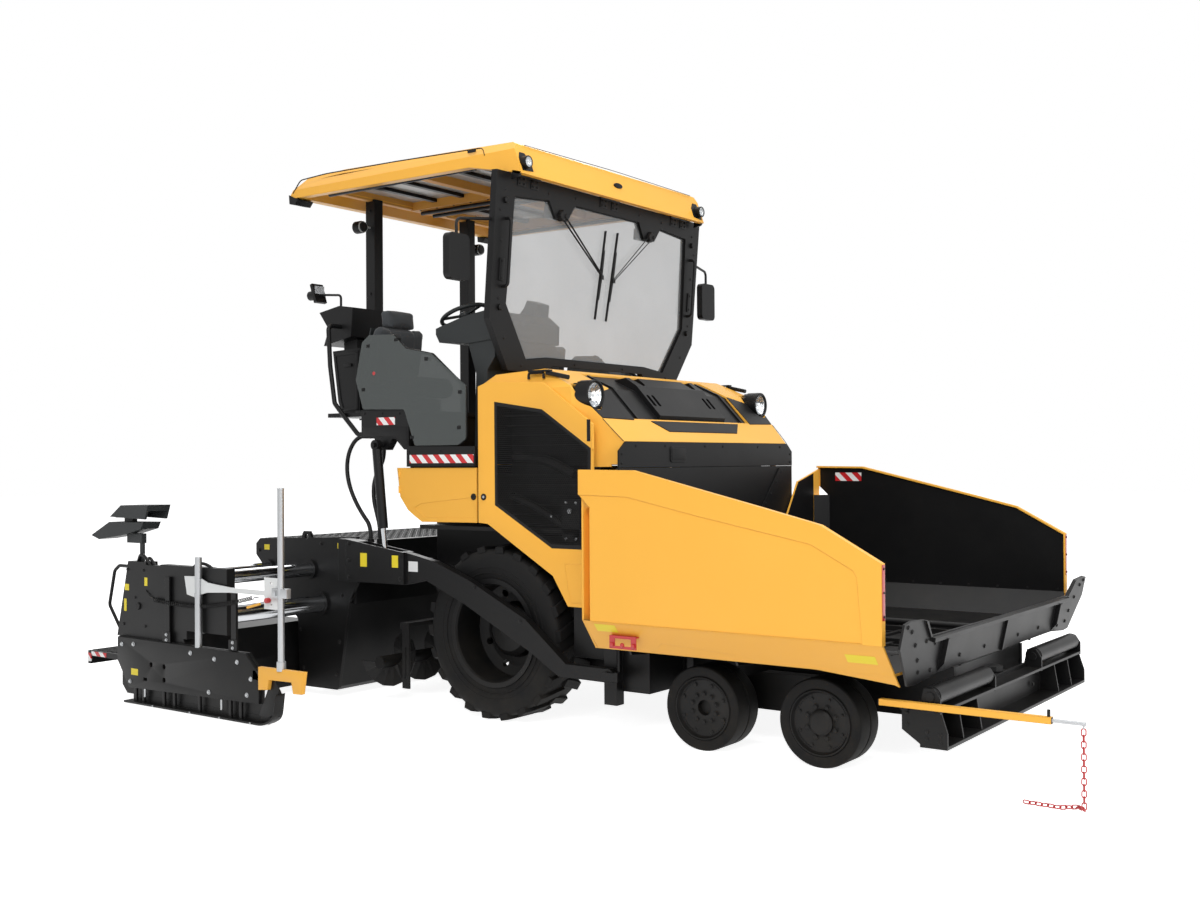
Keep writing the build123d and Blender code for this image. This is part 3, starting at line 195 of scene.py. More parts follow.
# effects shared by the materials: each is a node group with named inputs and outputs
def newEffect(name, inputs, outputs):
    group = bpy.data.node_groups.new(name, "ShaderNodeTree")
    for label, kind, value in inputs:
        socket = group.interface.new_socket(label, in_out="INPUT", socket_type="NodeSocket" + kind)
        socket.default_value = value
    for label, kind in outputs:
        group.interface.new_socket(label, in_out="OUTPUT", socket_type="NodeSocket" + kind)
    return group, group.nodes.new("NodeGroupInput"), group.nodes.new("NodeGroupOutput")


def objectNoise(tree, scale, detail, rough):  # cloudy noise laid in the object's own space
    where = addNode(tree, "ShaderNodeTexCoord")
    noise = addNode(tree, "ShaderNodeTexNoise", {"Detail": detail, "Roughness": rough})
    tree.links.new(where.outputs["Object"], noise.inputs["Vector"])
    if isinstance(scale, float):
        noise.inputs["Scale"].default_value = scale
    else:
        tree.links.new(scale, noise.inputs["Scale"])
    return noise.outputs[0]


def makeGrain():  # fine unevenness of a sprayed or moulded skin
    group, into, out = newEffect("skinGrain", (("Scale", "Float", 90.0), ("Coarse Scale", "Float", 3.0),
                                               ("Roughness", "Float", 0.4), ("Spread", "Float", 0.1)),
                                 (("Height", "Float"), ("Roughness", "Float"), ("Patch", "Float")))
    fine = objectNoise(group, into.outputs["Scale"], 3.0, 0.6)
    wide = objectNoise(group, into.outputs["Coarse Scale"], 4.0, 0.55)
    centred = mathNode(group, "SUBTRACT", wide, 0.5)
    spread = mathNode(group, "MULTIPLY", centred, into.outputs["Spread"])
    rough = mathNode(group, "ADD", spread, into.outputs["Roughness"], True)
    group.links.new(fine, out.inputs["Height"])
    group.links.new(rough, out.inputs["Roughness"])
    group.links.new(wide, out.inputs["Patch"])
    return group


def makeEdge():  # rounded look of a sheet edge, and where it is rubbed
    group, into, out = newEffect("edgeWear", (("Radius", "Float", 0.004), ("Wear", "Float", 0.2)),
                                 (("Normal", "Vector"), ("Mask", "Float")))
    bevel = addNode(group, "ShaderNodeBevel", samples=3)
    group.links.new(into.outputs["Radius"], bevel.inputs["Radius"])
    flat = addNode(group, "ShaderNodeNewGeometry")
    dot = addNode(group, "ShaderNodeVectorMath", operation="DOT_PRODUCT")
    group.links.new(bevel.outputs[0], dot.inputs[0])
    group.links.new(flat.outputs["Normal"], dot.inputs[1])
    bend = mathNode(group, "SUBTRACT", 1.0, dot.outputs["Value"])
    noise = objectNoise(group, 14.0, 6.0, 0.7)
    patchy = mathNode(group, "MULTIPLY", mathNode(group, "SUBTRACT", noise, 0.46, True), 9.0, True)
    rub = mathNode(group, "MULTIPLY", mathNode(group, "MULTIPLY", bend, 5.0, True), patchy)
    group.links.new(mathNode(group, "MULTIPLY", rub, into.outputs["Wear"], True), out.inputs["Mask"])
    group.links.new(bevel.outputs[0], out.inputs["Normal"])
    return group


def makeDust():  # pale dust, thicker low down and on upward faces
    inputs = (("Color", "Color", white), ("Dust", "Color", ink(150, 140, 122)), ("Amount", "Float", 0.1))
    group, into, out = newEffect("roadDust", inputs, (("Color", "Color"), ("Mask", "Float")))
    flat = addNode(group, "ShaderNodeNewGeometry")
    facing = addNode(group, "ShaderNodeSeparateXYZ")
    group.links.new(flat.outputs["Normal"], facing.inputs[0])
    where = addNode(group, "ShaderNodeTexCoord")
    place = addNode(group, "ShaderNodeSeparateXYZ")
    group.links.new(where.outputs["Object"], place.inputs[0])
    noise = objectNoise(group, 5.0, 7.0, 0.65)
    up = mathNode(group, "MULTIPLY", facing.outputs["Z"], 0.6, True)
    low = mathNode(group, "MULTIPLY", mathNode(group, "SUBTRACT", 0.7, place.outputs["Z"]), 0.9, True)
    settled = mathNode(group, "ADD", mathNode(group, "ADD", up, low), 0.15, True)
    speck = mathNode(group, "MULTIPLY", mathNode(group, "SUBTRACT", noise, 0.36, True), 3.0, True)
    spotted = mathNode(group, "MULTIPLY", settled, speck)
    mask = mathNode(group, "MULTIPLY", spotted, into.outputs["Amount"], True)
    mix = addNode(group, "ShaderNodeMix", data_type="RGBA")
    group.links.new(mask, mix.inputs["Factor"])
    group.links.new(into.outputs["Color"], mix.inputs["A"])
    group.links.new(into.outputs["Dust"], mix.inputs["B"])
    group.links.new(mix.outputs["Result"], out.inputs["Color"])
    group.links.new(mask, out.inputs["Mask"])
    return group


effects = {"grain": makeGrain(), "edge": makeEdge(), "dust": makeDust()}


def useEffect(tree, name, **values):
    node = addNode(tree, "ShaderNodeGroup", node_tree=effects[name])
    for label, value in values.items():
        node.inputs[label.replace("_", " ")].default_value = value
    return node


def newMaterial(name):
    mat = bpy.data.materials.new(name)
    mat.use_nodes = True
    return mat, mat.node_tree, mat.node_tree.nodes["Principled BSDF"]


# finish: colour, colour of its patches, roughness, scale of the grain, bump, edge radius, dust, more values
finishes = {
    "yellow": ((243, 180, 71), (239, 176, 66), 0.4, 160, 0.02, 0.005, 0.0, {"spec": 0.28, "coat": 0.06}),
    # shadedYellow is the body yellow darkened: painted shade for parts under the roof
    "shadedYellow": ((214, 150, 58), (206, 143, 52), 0.6, 60, 0.06, 0.004, 0.02, {}),
    "black": ((15, 15, 16), (11, 11, 12), 0.42, 140, 0.03, 0.004, 0.02,
              {"spec": 0.2, "wear": 0.10, "worn": (95, 96, 98)}),
    "darkSteel": ((14, 14, 15), (10, 10, 11), 0.5, 90, 0.05, 0.003, 0.04,
                  {"spec": 0.22, "wear": 0.16, "worn": (110, 110, 112)}),
    "hopperSteel": ((9, 9, 10), (16, 16, 17), 0.4, 40, 0.05, 0.003, 0.03,
                    {"spec": 0.2, "wear": 0.2, "worn": (120, 120, 122)}),
    "tyreRubber": ((15, 15, 16), (11, 11, 12), 0.68, 220, 0.10, 0.003, 0.05, {"spec": 0.18}),
    "rubber": ((15, 15, 16), (20, 20, 21), 0.55, 320, 0.08, 0.001, 0.03, {"spec": 0.25}),
    "chrome": ((208, 210, 212), (190, 192, 195), 0.16, 30, 0.01, 0.001, 0.02, {"metal": 1.0}),
    "zinc": ((176, 178, 180), (158, 160, 162), 0.38, 70, 0.04, 0.002, 0.04, {"metal": 0.9}),
    "plastic": ((38, 41, 42), (34, 37, 38), 0.5, 420, 0.10, 0.006, 0.02, {"spec": 0.3}),
    "seatCloth": ((58, 61, 64), (50, 53, 56), 0.85, 700, 0.25, 0.0, 0.02, {"sheen": 0.3}),
    "red": ((186, 36, 38), (170, 30, 33), 0.4, 120, 0.03, 0.001, 0.02, {"coat": 0.3}),
    "white": ((226, 228, 228), (216, 218, 218), 0.42, 120, 0.02, 0.001, 0.04, {}),
    "signYellow": ((236, 214, 40), (228, 206, 36), 0.45, 120, 0.02, 0.0, 0.02, {}),
    "reflector": ((190, 38, 40), (150, 22, 26), 0.18, 260, 0.3, 0.001, 0.0, {"coat": 0.8}),
}
patchScale, patchSpread, bumpDepth = 2.2, 0.14, 0.002


def makeFinish(name, row):
    base, patch, rough, scale, bumpStrength, edgeRadius, dustAmount, more = row
    mat, tree, shader = newMaterial(name)
    grain = useEffect(tree, "grain", Scale=float(scale), Coarse_Scale=patchScale, Roughness=rough,
                      Spread=patchSpread)
    tint = addNode(tree, "ShaderNodeMix", {"A": ink(*base), "B": ink(*patch)}, data_type="RGBA")
    tree.links.new(grain.outputs["Patch"], tint.inputs["Factor"])
    colour = tint.outputs["Result"]
    bump = addNode(tree, "ShaderNodeBump", {"Strength": bumpStrength, "Distance": bumpDepth})
    tree.links.new(grain.outputs["Height"], bump.inputs["Height"])
    if edgeRadius:
        edge = useEffect(tree, "edge", Radius=edgeRadius, Wear=more.get("wear", 0.0))
        tree.links.new(edge.outputs["Normal"], bump.inputs["Normal"])
        if "wear" in more:
            worn = addNode(tree, "ShaderNodeMix", {"B": ink(*more["worn"])}, data_type="RGBA")
            tree.links.new(edge.outputs["Mask"], worn.inputs["Factor"])
            tree.links.new(colour, worn.inputs["A"])
            colour = worn.outputs["Result"]
    dust = useEffect(tree, "dust", Amount=dustAmount)
    tree.links.new(colour, dust.inputs["Color"])
    tree.links.new(dust.outputs["Color"], shader.inputs["Base Color"])
    tree.links.new(grain.outputs["Roughness"], shader.inputs["Roughness"])
    tree.links.new(bump.outputs["Normal"], shader.inputs["Normal"])
    shader.inputs["Metallic"].default_value = more.get("metal", 0.0)
    shader.inputs["Specular IOR Level"].default_value = more.get("spec", 0.5)
    shader.inputs["Coat Weight"].default_value = more.get("coat", 0.0)
    shader.inputs["Coat Roughness"].default_value = 0.12
    if "sheen" in more:
        shader.inputs["Sheen Weight"].default_value = more["sheen"]
        shader.inputs["Sheen Roughness"].default_value = 0.4
    return mat


panes = {  # colour, roughness, alpha, how far the alpha wanders
    "clearGlass": ((150, 152, 153), 0.03, 0.42, 0.10),
    "smokeGlass": ((62, 68, 67), 0.08, 0.86, 0.05),
    "roofPane": ((225, 226, 224), 0.2, 0.55, 0.12),
    "lens": ((225, 230, 232), 0.05, 0.45, 0.3),
}


def makePane(name, row):  # tinted sheet: partly see-through by Alpha, a little uneven
    colour, rough, alpha, haze = row
    mat, tree, shader = newMaterial(name)
    grain = useEffect(tree, "grain", Scale=6.0, Coarse_Scale=1.6, Roughness=rough, Spread=rough)
    clouds = mathNode(tree, "MULTIPLY", grain.outputs["Patch"], haze)
    tree.links.new(mathNode(tree, "ADD", clouds, alpha - haze / 2, True), shader.inputs["Alpha"])
    tree.links.new(grain.outputs["Roughness"], shader.inputs["Roughness"])
    shader.inputs["Base Color"].default_value = ink(*colour)
    shader.inputs["Specular IOR Level"].default_value = 0.6
    return mat


bandSet = {"red": (196, 30, 36), "white": (235, 236, 236), "pair": 0.104, "dust": 0.03, "rough": 0.35}


def makeStripes(v):  # red and white slanting bands; pair is the run of one of each along x
    mat, tree, shader = newMaterial("warningBands")
    where = addNode(tree, "ShaderNodeTexCoord")
    parts = addNode(tree, "ShaderNodeSeparateXYZ")
    tree.links.new(where.outputs["Object"], parts.inputs[0])
    along = mathNode(tree, "ADD", parts.outputs["X"], parts.outputs["Z"])
    wave = mathNode(tree, "FRACT", mathNode(tree, "MULTIPLY", along, 1 / v["pair"]))
    band = mathNode(tree, "GREATER_THAN", wave, 0.5)
    mix = addNode(tree, "ShaderNodeMix", {"A": ink(*v["red"]), "B": ink(*v["white"])}, data_type="RGBA")
    tree.links.new(band, mix.inputs["Factor"])
    dust = useEffect(tree, "dust", Amount=v["dust"])
    tree.links.new(mix.outputs["Result"], dust.inputs["Color"])
    tree.links.new(dust.outputs["Color"], shader.inputs["Base Color"])
    shader.inputs["Roughness"].default_value = v["rough"]
    return mat


def makeBowl():  # faceted reflector of a lamp
    mat, tree, shader = newMaterial("lampBowl")
    grain = useEffect(tree, "grain", Scale=140.0, Coarse_Scale=30.0, Roughness=0.14, Spread=0.1)
    tree.links.new(grain.outputs["Roughness"], shader.inputs["Roughness"])
    bump = addNode(tree, "ShaderNodeBump", {"Strength": 0.5, "Distance": 0.004})
    cells = addNode(tree, "ShaderNodeTexVoronoi", {"Scale": 60.0})
    tree.links.new(cells.outputs["Distance"], bump.inputs["Height"])
    tree.links.new(bump.outputs["Normal"], shader.inputs["Normal"])
    shader.inputs["Base Color"].default_value = ink(226, 229, 232)
    shader.inputs["Metallic"].default_value = 0.85
    return mat


mats = {name: makeFinish(name, row) for name, row in finishes.items()}
mats.update({name: makePane(name, row) for name, row in panes.items()})
mats["warningBands"] = makeStripes(bandSet)
mats["lampBowl"] = makeBowl()
print("materials ready:", len(mats))

slotFinish = {
    "yellow": "yellow", "black": "black", "dark_steel": "darkSteel", "tyre_rubber": "tyreRubber",
    "rubber": "rubber", "chrome": "chrome", "zinc": "zinc", "glass": "clearGlass", "smoke": "smokeGlass",
    "plastic": "plastic", "seat_fabric": "seatCloth", "red": "red", "lamp": "lens",
}
nodeFinish = {"mirrors": "black"}  # nodes whose finish differs from their slot's


def dressNodes():
    slots = {row["node"]: row["material_slot"] for row in frame["record"]["subparts"]}
    for name, node in frame["nodes"].items():
        finish = nodeFinish.get(name, slotFinish[slots[name]])
        for place in node.material_slots:
            place.material = mats[finish]
        if not node.material_slots:
            node.data.materials.append(mats[finish])


dressNodes()


# making pieces: outlines and points are in millimetres from the drive axle, like the plans of the machine
smoothAngle, rimAngle = radians(32), 0.4


def addPiece(name, mesh, finish, body, smooth=True):
    piece = bpy.data.objects.new(name, mesh)
    scene.collection.objects.link(piece)
    mesh.materials.clear()
    mesh.materials.append(mats[finish])
    if smooth:
        mesh.shade_smooth()
        mesh.set_sharp_from_angle(angle=smoothAngle)
    if body:
        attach(piece, body)
    return piece


def bmeshOf(make):  # mesh from a function that fills a bmesh
    bm = bmesh.new()
    make(bm)
    bmesh.ops.recalc_face_normals(bm, faces=bm.faces)
    mesh = bpy.data.meshes.new("part")
    bm.to_mesh(mesh)
    bm.free()
    return mesh


def swapped(a, b, c, plane):  # outline values a and b with c across them
    return {"xz": (a, c, b), "yz": (c, a, b), "xy": (a, b, c)}[plane]


def addLoop(bm, places):  # closed line through places in metres: its points and edges
    verts = [bm.verts.new(place) for place in places]
    return verts, [bm.edges.new((verts[i], verts[(i + 1) % len(verts)])) for i in range(len(verts))]


def joinRings(bm, a, b):
    for i in range(len(a)):
        n = (i + 1) % len(a)
        bm.faces.new((a[i], a[n], b[n], b[i]))


def addStack(bm, rings):  # skin over a row of rings, closed at both ends
    bm.faces.new(rings[0])
    for a, b in zip(rings, rings[1:]):
        joinRings(bm, a, b)
    bm.faces.new(rings[-1])


# flat outline, extruded between two values across its plane, its rim softened
def addPlate(bm, outline, across, plane="xz", edge=0.0, holes=()):
    start, end = across
    verts, edges = [], []
    for loop in (outline, *holes):
        loopVerts, loopEdges = addLoop(bm, [at(*swapped(a, b, start, plane)) for a, b in loop])
        verts += loopVerts
        edges += loopEdges
    if holes:
        filled = bmesh.ops.triangle_fill(bm, edges=edges, use_beauty=True)["geom"]
        faces = [f for f in filled if isinstance(f, bmesh.types.BMFace)]
    else:
        faces = [bm.faces.new(verts)]
    move = at(*swapped(0, 0, end, plane)) - at(*swapped(0, 0, start, plane))
    extruded = bmesh.ops.extrude_face_region(bm, geom=faces)["geom"]
    top = [v for v in extruded if isinstance(v, bmesh.types.BMVert)]
    for v in top:
        v.co += move
    if edge:
        rim = [e for e in dict.fromkeys(e for v in top for e in v.link_edges)
               if e.calc_face_angle(0) > rimAngle and all(w in top for w in e.verts)]
        bmesh.ops.bevel(bm, geom=rim, offset=edge / 1000, segments=2, affect="EDGES", profile=0.6)


def circle(x, z, r, steps=24):
    return [(x + r * cos(2 * pi * k / steps), z + r * sin(2 * pi * k / steps)) for k in range(steps)]


def rectangle(x0, x1, z0, z1):
    return [(x0, z0), (x1, z0), (x1, z1), (x0, z1)]


def addBlock(bm, xs, ys, zs, edge=0.0):
    addPlate(bm, rectangle(*xs, *zs), ys, "xz", edge)


def frameOf(way):  # two directions square to a way
    way = Vector(way).normalized()
    side = way.orthogonal().normalized()
    return way, side, way.cross(side)


def ringAt(bm, centre, u, v, r, steps, turn=0.0, squeeze=1.0):  # points round a centre, in metres
    angles = [turn + 2 * pi * k / steps for k in range(steps)]
    return [bm.verts.new(centre + (u * cos(a) + v * (sin(a) * squeeze)) * r) for a in angles]


def addRod(bm, start, end, radius, steps=24, edge=0.0):  # round bar
    a, b = at(*start), at(*end)
    way, u, v = frameOf(b - a)
    r, e = radius / 1000, edge / 1000
    rows = [(a, r - e), (a + way * e, r), (b - way * e, r), (b, r - e)] if edge else [(a, r), (b, r)]
    addStack(bm, [ringAt(bm, centre, u, v, size, steps) for centre, size in rows])


# profile of radius and distance along a way, turned about it
def addLathe(bm, profile, centre, way=(0, 1, 0), steps=48, closed=True):
    way, u, v = frameOf(way)
    base = at(*centre)
    rings = []
    for r, d in profile:
        middle = base + way * (d / 1000)
        rings.append(ringAt(bm, middle, u, v, r / 1000, steps) if r > 0 else [bm.verts.new(middle)])
    for a, b in zip(rings, rings[1:] + rings[:1] if closed else rings[1:]):
        if len(a) == len(b) == steps:
            joinRings(bm, a, b)
        elif len(b) == steps:
            for k in range(steps):
                bm.faces.new((a[0], b[(k + 1) % steps], b[k]))
        elif len(a) == steps:
            for k in range(steps):
                bm.faces.new((a[k], a[(k + 1) % steps], b[0]))


def bendPoints(points, bend, parts=6):  # corners of a route rounded into arcs
    route = [Vector(points[0])]
    for before, corner, after in zip(points, points[1:], points[2:]):
        p, c, n = Vector(before), Vector(corner), Vector(after)
        inWay, outWay = (c - p), (n - c)
        reach = min(bend, inWay.length * 0.48, outWay.length * 0.48)
        a, b = c - inWay.normalized() * reach, c + outWay.normalized() * reach
        for k in range(parts + 1):
            t = k / parts
            route.append(a * (1 - t) ** 2 + c * (2 * t * (1 - t)) + b * t ** 2)
    route.append(Vector(points[-1]))
    return route


# bent tube through points; squeeze flattens its section
def addTube(bm, points, radius, bend=0.0, steps=12, squeeze=1.0):
    route = [at(*p) for p in (bendPoints(points, bend) if bend else points)]
    u = frameOf(route[1] - route[0])[1]
    rings = []
    for i, centre in enumerate(route):
        way = (route[min(i + 1, len(route) - 1)] - route[max(i - 1, 0)]).normalized()
        u = (u - way * u.dot(way)).normalized()
        rings.append(ringAt(bm, centre, u, way.cross(u), radius / 1000, steps, 0.0, squeeze))
    addStack(bm, rings)


# six-sided head on a washer, each turned its own way; place on the surface, way points out
def addBolt(bm, place, way, size=9, height=6, washer=True):
    way, u, v = frameOf(way)
    base = at(*place) - way * 0.001
    turn = random.uniform(0, pi / 3)
    layers = []
    if washer:
        layers.append((24, size * 1.35, size * 1.35, 1.0, 2.6))
    layers.append((6, size, size * 0.92, 2.4 if washer else 1.0, height + 2.4))
    for steps, low, high, start, end in layers:
        rings = [ringAt(bm, base + way * (d / 1000), u, v, r / 1000, steps, turn)
                 for r, d in ((low, start - 1.0), (low, end - 0.8), (high * 0.93, end))]
        for a, b in zip(rings, rings[1:]):
            joinRings(bm, a, b)
        bm.faces.new(rings[-1])


def addScrew(bm, place, way, size=9, height=3.5):  # low round head with a socket in it
    bottom = height - 2.2
    profile = ((0, bottom), (size * 0.42, bottom), (size * 0.46, height), (size * 0.86, height),
               (size, height * 0.6), (size, -1))
    addLathe(bm, profile, place, way, 16, False)


# thin blank label on a surface; across and up are its directions
def addSticker(bm, centre, across, up, size):
    u, w = Vector(across).normalized(), Vector(up).normalized()
    out = u.cross(w)
    c = at(*centre) + out * 0.0004
    corners = [(a * size[0] / 2, b * size[1] / 2) for a, b in ((-1, -1), (1, -1), (1, 1), (-1, 1))]
    low, high = ([bm.verts.new(c + out * lift + u * (a / 1000) + w * (b / 1000)) for a, b in corners]
                 for lift in (-0.0002, 0.0003))
    bm.faces.new(high)
    bm.faces.new(low[::-1])
    joinRings(bm, low, high)


forward = (1, 0, 0)


# forms on one side: s is -1 right and 1 left, y counts outwards from the middle of the machine
def sidePlate(bm, s, outline, ys, edge=0.0, holes=()):
    addPlate(bm, outline, (s * ys[0], s * ys[1]), "xz", edge, holes)


def sideBlock(bm, s, xs, ys, zs, edge=0.0):
    addBlock(bm, xs, (s * ys[0], s * ys[1]), zs, edge)


def sideLathe(bm, s, profile, place, steps=48, closed=True):
    x, y, z = place
    addLathe(bm, profile, (x, s * y, z), (0, s, 0), steps, closed)


def sideBolts(bm, s, y, places, size, height, washer=True):
    for x, z in places:
        addBolt(bm, (x, s * y, z), (0, s, 0), size, height, washer)


def sideScrews(bm, s, y, places, size):
    for x, z in places:
        addScrew(bm, (x, s * y, z), (0, s, 0), size)


def sideStickers(bm, s, y, rows):
    for x, z, size in rows:
        addSticker(bm, (x, s * y, z), (-s, 0, 0), (0, 0, 1), size)


def lapped(outline):  # an outline on the left half and its mirror on the right, as one ring
    return outline + [(-a, b) for a, b in reversed(outline)]


# the same piece on the right and left; make(bm, side) fills it, body may hold the side's name
def both(name, make, finish, body, v=None):
    for sideName, side in sides.items():
        mesh = bmeshOf(lambda bm: make(bm, side, v) if v else make(bm, side))
        addPiece(f"{name}_{sideName}", mesh, finish, body.format(sideName))


def single(name, make, finish, body, v=None, smooth=True):
    return addPiece(name, bmeshOf(lambda bm: make(bm, v) if v else make(bm)), finish, body, smooth)


hoseSet = {
    "diameter": 0.030, "roundness": 6, "steps": 12,
    "routes": {  # points of each run, right side, and its length in metres
        "outer": ([(-1210, -1130, 1925), (-1325, -1130, 1925), (-1420, -1134, 1830), (-1446, -1142, 1700),
                   (-1412, -1152, 1570), (-1335, -1164, 1450), (-1242, -1176, 1350), (-1150, -1185, 1270),
                   (-1150, -1185, 1180)], 0.992),
        "inner": ([(-1110, -1090, 1826), (-1110, -1090, 1748), (-1176, -1096, 1660), (-1206, -1104, 1555),
                   (-1190, -1116, 1450), (-1146, -1128, 1355), (-1108, -1135, 1262),
                   (-1108, -1135, 1180)], 0.686),
    },
}


def makeHoses(v):  # from the platform down to the screed
    for sideName, side in sides.items():
        for routeName, (route, length) in v["routes"].items():
            points = [at(x, -y * side, z) for x, y, z in route]
            data = bpy.data.curves.new("hoseLine", "CURVE")
            data.dimensions, data.resolution_u = "3D", v["steps"]
            spline = data.splines.new("NURBS")
            spline.points.add(len(points) - 1)
            for p, q in zip(spline.points, points):
                p.co = (*q, 1)
            spline.order_u = 3
            spline.use_endpoint_u = True
            line = bpy.data.objects.new("hoseLine", data)
            scene.collection.objects.link(line)
            path = [tuple(p.co) for p in bpy.data.meshes.new_from_object(line).vertices]
            data.bevel_depth, data.bevel_resolution = v["diameter"] / 2, v["roundness"]
            data.use_fill_caps = True
            mesh = bpy.data.meshes.new_from_object(line)
            bpy.data.objects.remove(line)
            name = f"screedHose_{routeName}_{sideName}"
            hose = addPiece(name, mesh, "rubber", None)
            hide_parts(f"screed_hose_{routeName}_{sideName}")
            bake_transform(hose)


makeHoses(hoseSet)
print("hoses ready")


# hopper: dark lining of the wings, reflectors, stickers, bolts of the apron
wingSet = {
    "half": 1590, "wallInner": 1574, "hinge": (740, 600), "floor": (600, 614), "slopeFoot": 1424,
    "slope": (786, 617), "run": (1046, 2934), "sleeve": (1045, 2895), "strip": (791, 764), "rearX": 1036,
    "inner": [(1040, 1663), (1405, 1657), (2229, 1460), (2592, 1371), (2930, 1186), (2930, 786), (1114, 786),
              (1101, 812), (1106, 1449), (1040, 1512)],
    "rear": [(800, 617), (1424, 617), (1456, 660), (1456, 1620), (1200, 1556), (800, 996)],
    "corner": [(1038, 1461), (1040, 1461), (1117, 1573), (1116, 1576)],
    "ribs": (1260, 1985, 2760), "sheet": 1.6, "gap": 0.6,
}


def lineWing(bm, s, v):  # thin dark sheets over every inner and lower face
    g, t, y, foot = v["gap"], v["sheet"], v["wallInner"], v["slopeFoot"]
    low, high = v["floor"]
    top, bottom = v["slope"]
    start, end = v["run"]
    sidePlate(bm, s, v["inner"], (y - g, y - g - t))
    slope = [(y - 1, top), (y - 1 - t, top), (foot - 6 - t, bottom), (foot - 6, bottom)]
    addPlate(bm, [(s * a, b) for a, b in slope], (start, end - 2), "yz")
    sideBlock(bm, s, v["run"], (792, foot - 4), (high + g, high + g + t))
    sideBlock(bm, s, v["run"], (792, foot - 20), (low - g - t, low - g))
    addPlate(bm, [(s * a, b) for a, b in v["rear"]], (v["rearX"] + g, v["rearX"] + g + t), "yz")
    addPlate(bm, [(x, s * y) for x, y in v["corner"]], (785, 1450), "xy")
    sideBlock(bm, s, v["sleeve"], v["strip"], (high + g, high + g + t))
    sideBlock(bm, s, v["sleeve"], v["strip"], (low - 5 - t, low - 4 - g))
    hingeY, hingeZ = v["hinge"]
    start, end = v["sleeve"]
    addRod(bm, (start, s * hingeY, hingeZ), (end, s * hingeY, hingeZ), 27, 32)
    sideBlock(bm, s, v["sleeve"], (751.4, 791), (595.4, 618.8))
    for x in v["ribs"]:
        outline = [(s * 799, 604), (s * 1419, 604), (s * 1401, 574), (s * 1250, 559), (s * 799, 574)]
        addPlate(bm, outline, (x - g, x + 12 + g), "yz")


def trimWing(bm, s, v):  # screws along the wall's foot and the floor's inner edge
    for k in range(9):
        addScrew(bm, (1160 + 215 * k, s * (v["wallInner"] - 2.4), 800), (0, -s, 0))
    for k in range(12):
        addScrew(bm, (1120 + 155 * k, s * 840, v["floor"][1] + 2.2), (0, 0, 1))


def addReflector(bm, s, v):  # red strip down the front edge
    sideBlock(bm, s, (2942.4, 2945), (v["half"] - 36, v["half"] - 4), (906, 1190), 0.8)


def addReflectorScrews(bm, s):
    for z in (926, 1048, 1170):
        addScrew(bm, (2945, s * 1570, z), forward, 7)


def addWingStickers(bm, s, v):  # on the leaning skirt
    up = (0, s * 0.657, 0.754)
    for x, z, size in ((1195, 745, (150, 62)), (2790, 690, (170, 62))):
        addSticker(bm, (x, s * (v["half"] - (784 - z) / 1.147), z), (-s, 0, 0), up, size)


def addInnerStripe(bm, s):  # label near the top of the wall's inner face
    sideBlock(bm, s, (1170, 1390), (1571.6, 1570.8), (1560, 1625))


def addLock(bm, s):  # red lock plate with its three knobs on the skirt's rear tab
    sidePlate(bm, s, rectangle(1212, 1402, 628, 704), (1548, 1541), 2.0, (rectangle(1250, 1364, 645, 688),))
    sideBlock(bm, s, (1212, 1402), (1541, 1500), (696, 704))
    for x in (1232, 1307, 1384):
        sideLathe(bm, s, ((0, 14), (9, 14), (13, 9), (13, 0), (0, 0)), (x, 1548, 652), 20, False)


wing = "hopper_wing_{}"
both("wingLining", lineWing, "hopperSteel", wing, wingSet)
both("wingScrews", trimWing, "darkSteel", wing, wingSet)
both("wingReflector", addReflector, "reflector", wing, wingSet)
both("reflectorScrews", addReflectorScrews, "black", wing)
both("wingStickers", addWingStickers, "signYellow", wing, wingSet)
both("wingStripe", addInnerStripe, "warningBands", wing)
both("wingLock", addLock, "red", wing)

apronSet = {
    "lean": radians(12), "pivot": (2972, 580), "face": 29,
    "bolts": ((1290, 40), (1330, 110), (1400, 200), (1480, 280), (1545, 310), (1250, 205), (1120, 30),
              (1120, 180), (300, 60), (700, 60)),  # y and height up the flap
}


def addApronBolts(bm, v):  # on the front face of the leaning flap
    x, c, lean = v["face"], cos(v["lean"]), sin(v["lean"])
    for s in (-1, 1):
        for y, z in v["bolts"]:
            place = (v["pivot"][0] + x * c + z * lean, s * y, v["pivot"][1] - x * lean + z * c)
            addBolt(bm, place, (c, 0, -lean), 10, 6)


single("apronBolts", addApronBolts, "darkSteel", "hopper_apron", apronSet)
print("hopper ready")

# side doors: frame and real mesh in place of the plain window plate
doorSet = {
    "y": 1200, "thick": 13, "soft": 2.5, "height": 1300,
    "outline": [(-112, 1318), (-112, 2232), (-20, 2262), (452, 2238), (846, 1960), (846, 802),
                (640, 802), (520, 990), (-30, 1312)],
    "window": [(44, 1446), (42, 2110), (434, 2050), (812, 1803), (805, 1184), (507, 1184)],
    "grow": 1.06, "field": [(612, 1078), (805, 1084), (805, 830), (660, 826), (634, 950)],
    "hinges": ((900, 990), (1400, 1490), (1800, 1890)), "hingeX": 846, "hingeRadius": 8,
    "cell": 15.5, "wire": 3.2,
}


def grown(points, share):  # outline scaled about the middle of its box
    xs, zs = zip(*points)
    cx, cz = (min(xs) + max(xs)) / 2, (min(zs) + max(zs)) / 2
    return [(cx + (x - cx) * share, cz + (z - cz) * share) for x, z in points]


def fillBetween(bm, outer, inner):  # flat face between two closed lines of places; gives their points
    loops = [addLoop(bm, places) for places in (outer, inner)]
    bmesh.ops.triangle_fill(bm, edges=[edge for _, edges in loops for edge in edges], use_beauty=True)
    return [verts for verts, _ in loops]


def placed(outline, y):
    return [at(x, y, z) for x, z in outline]


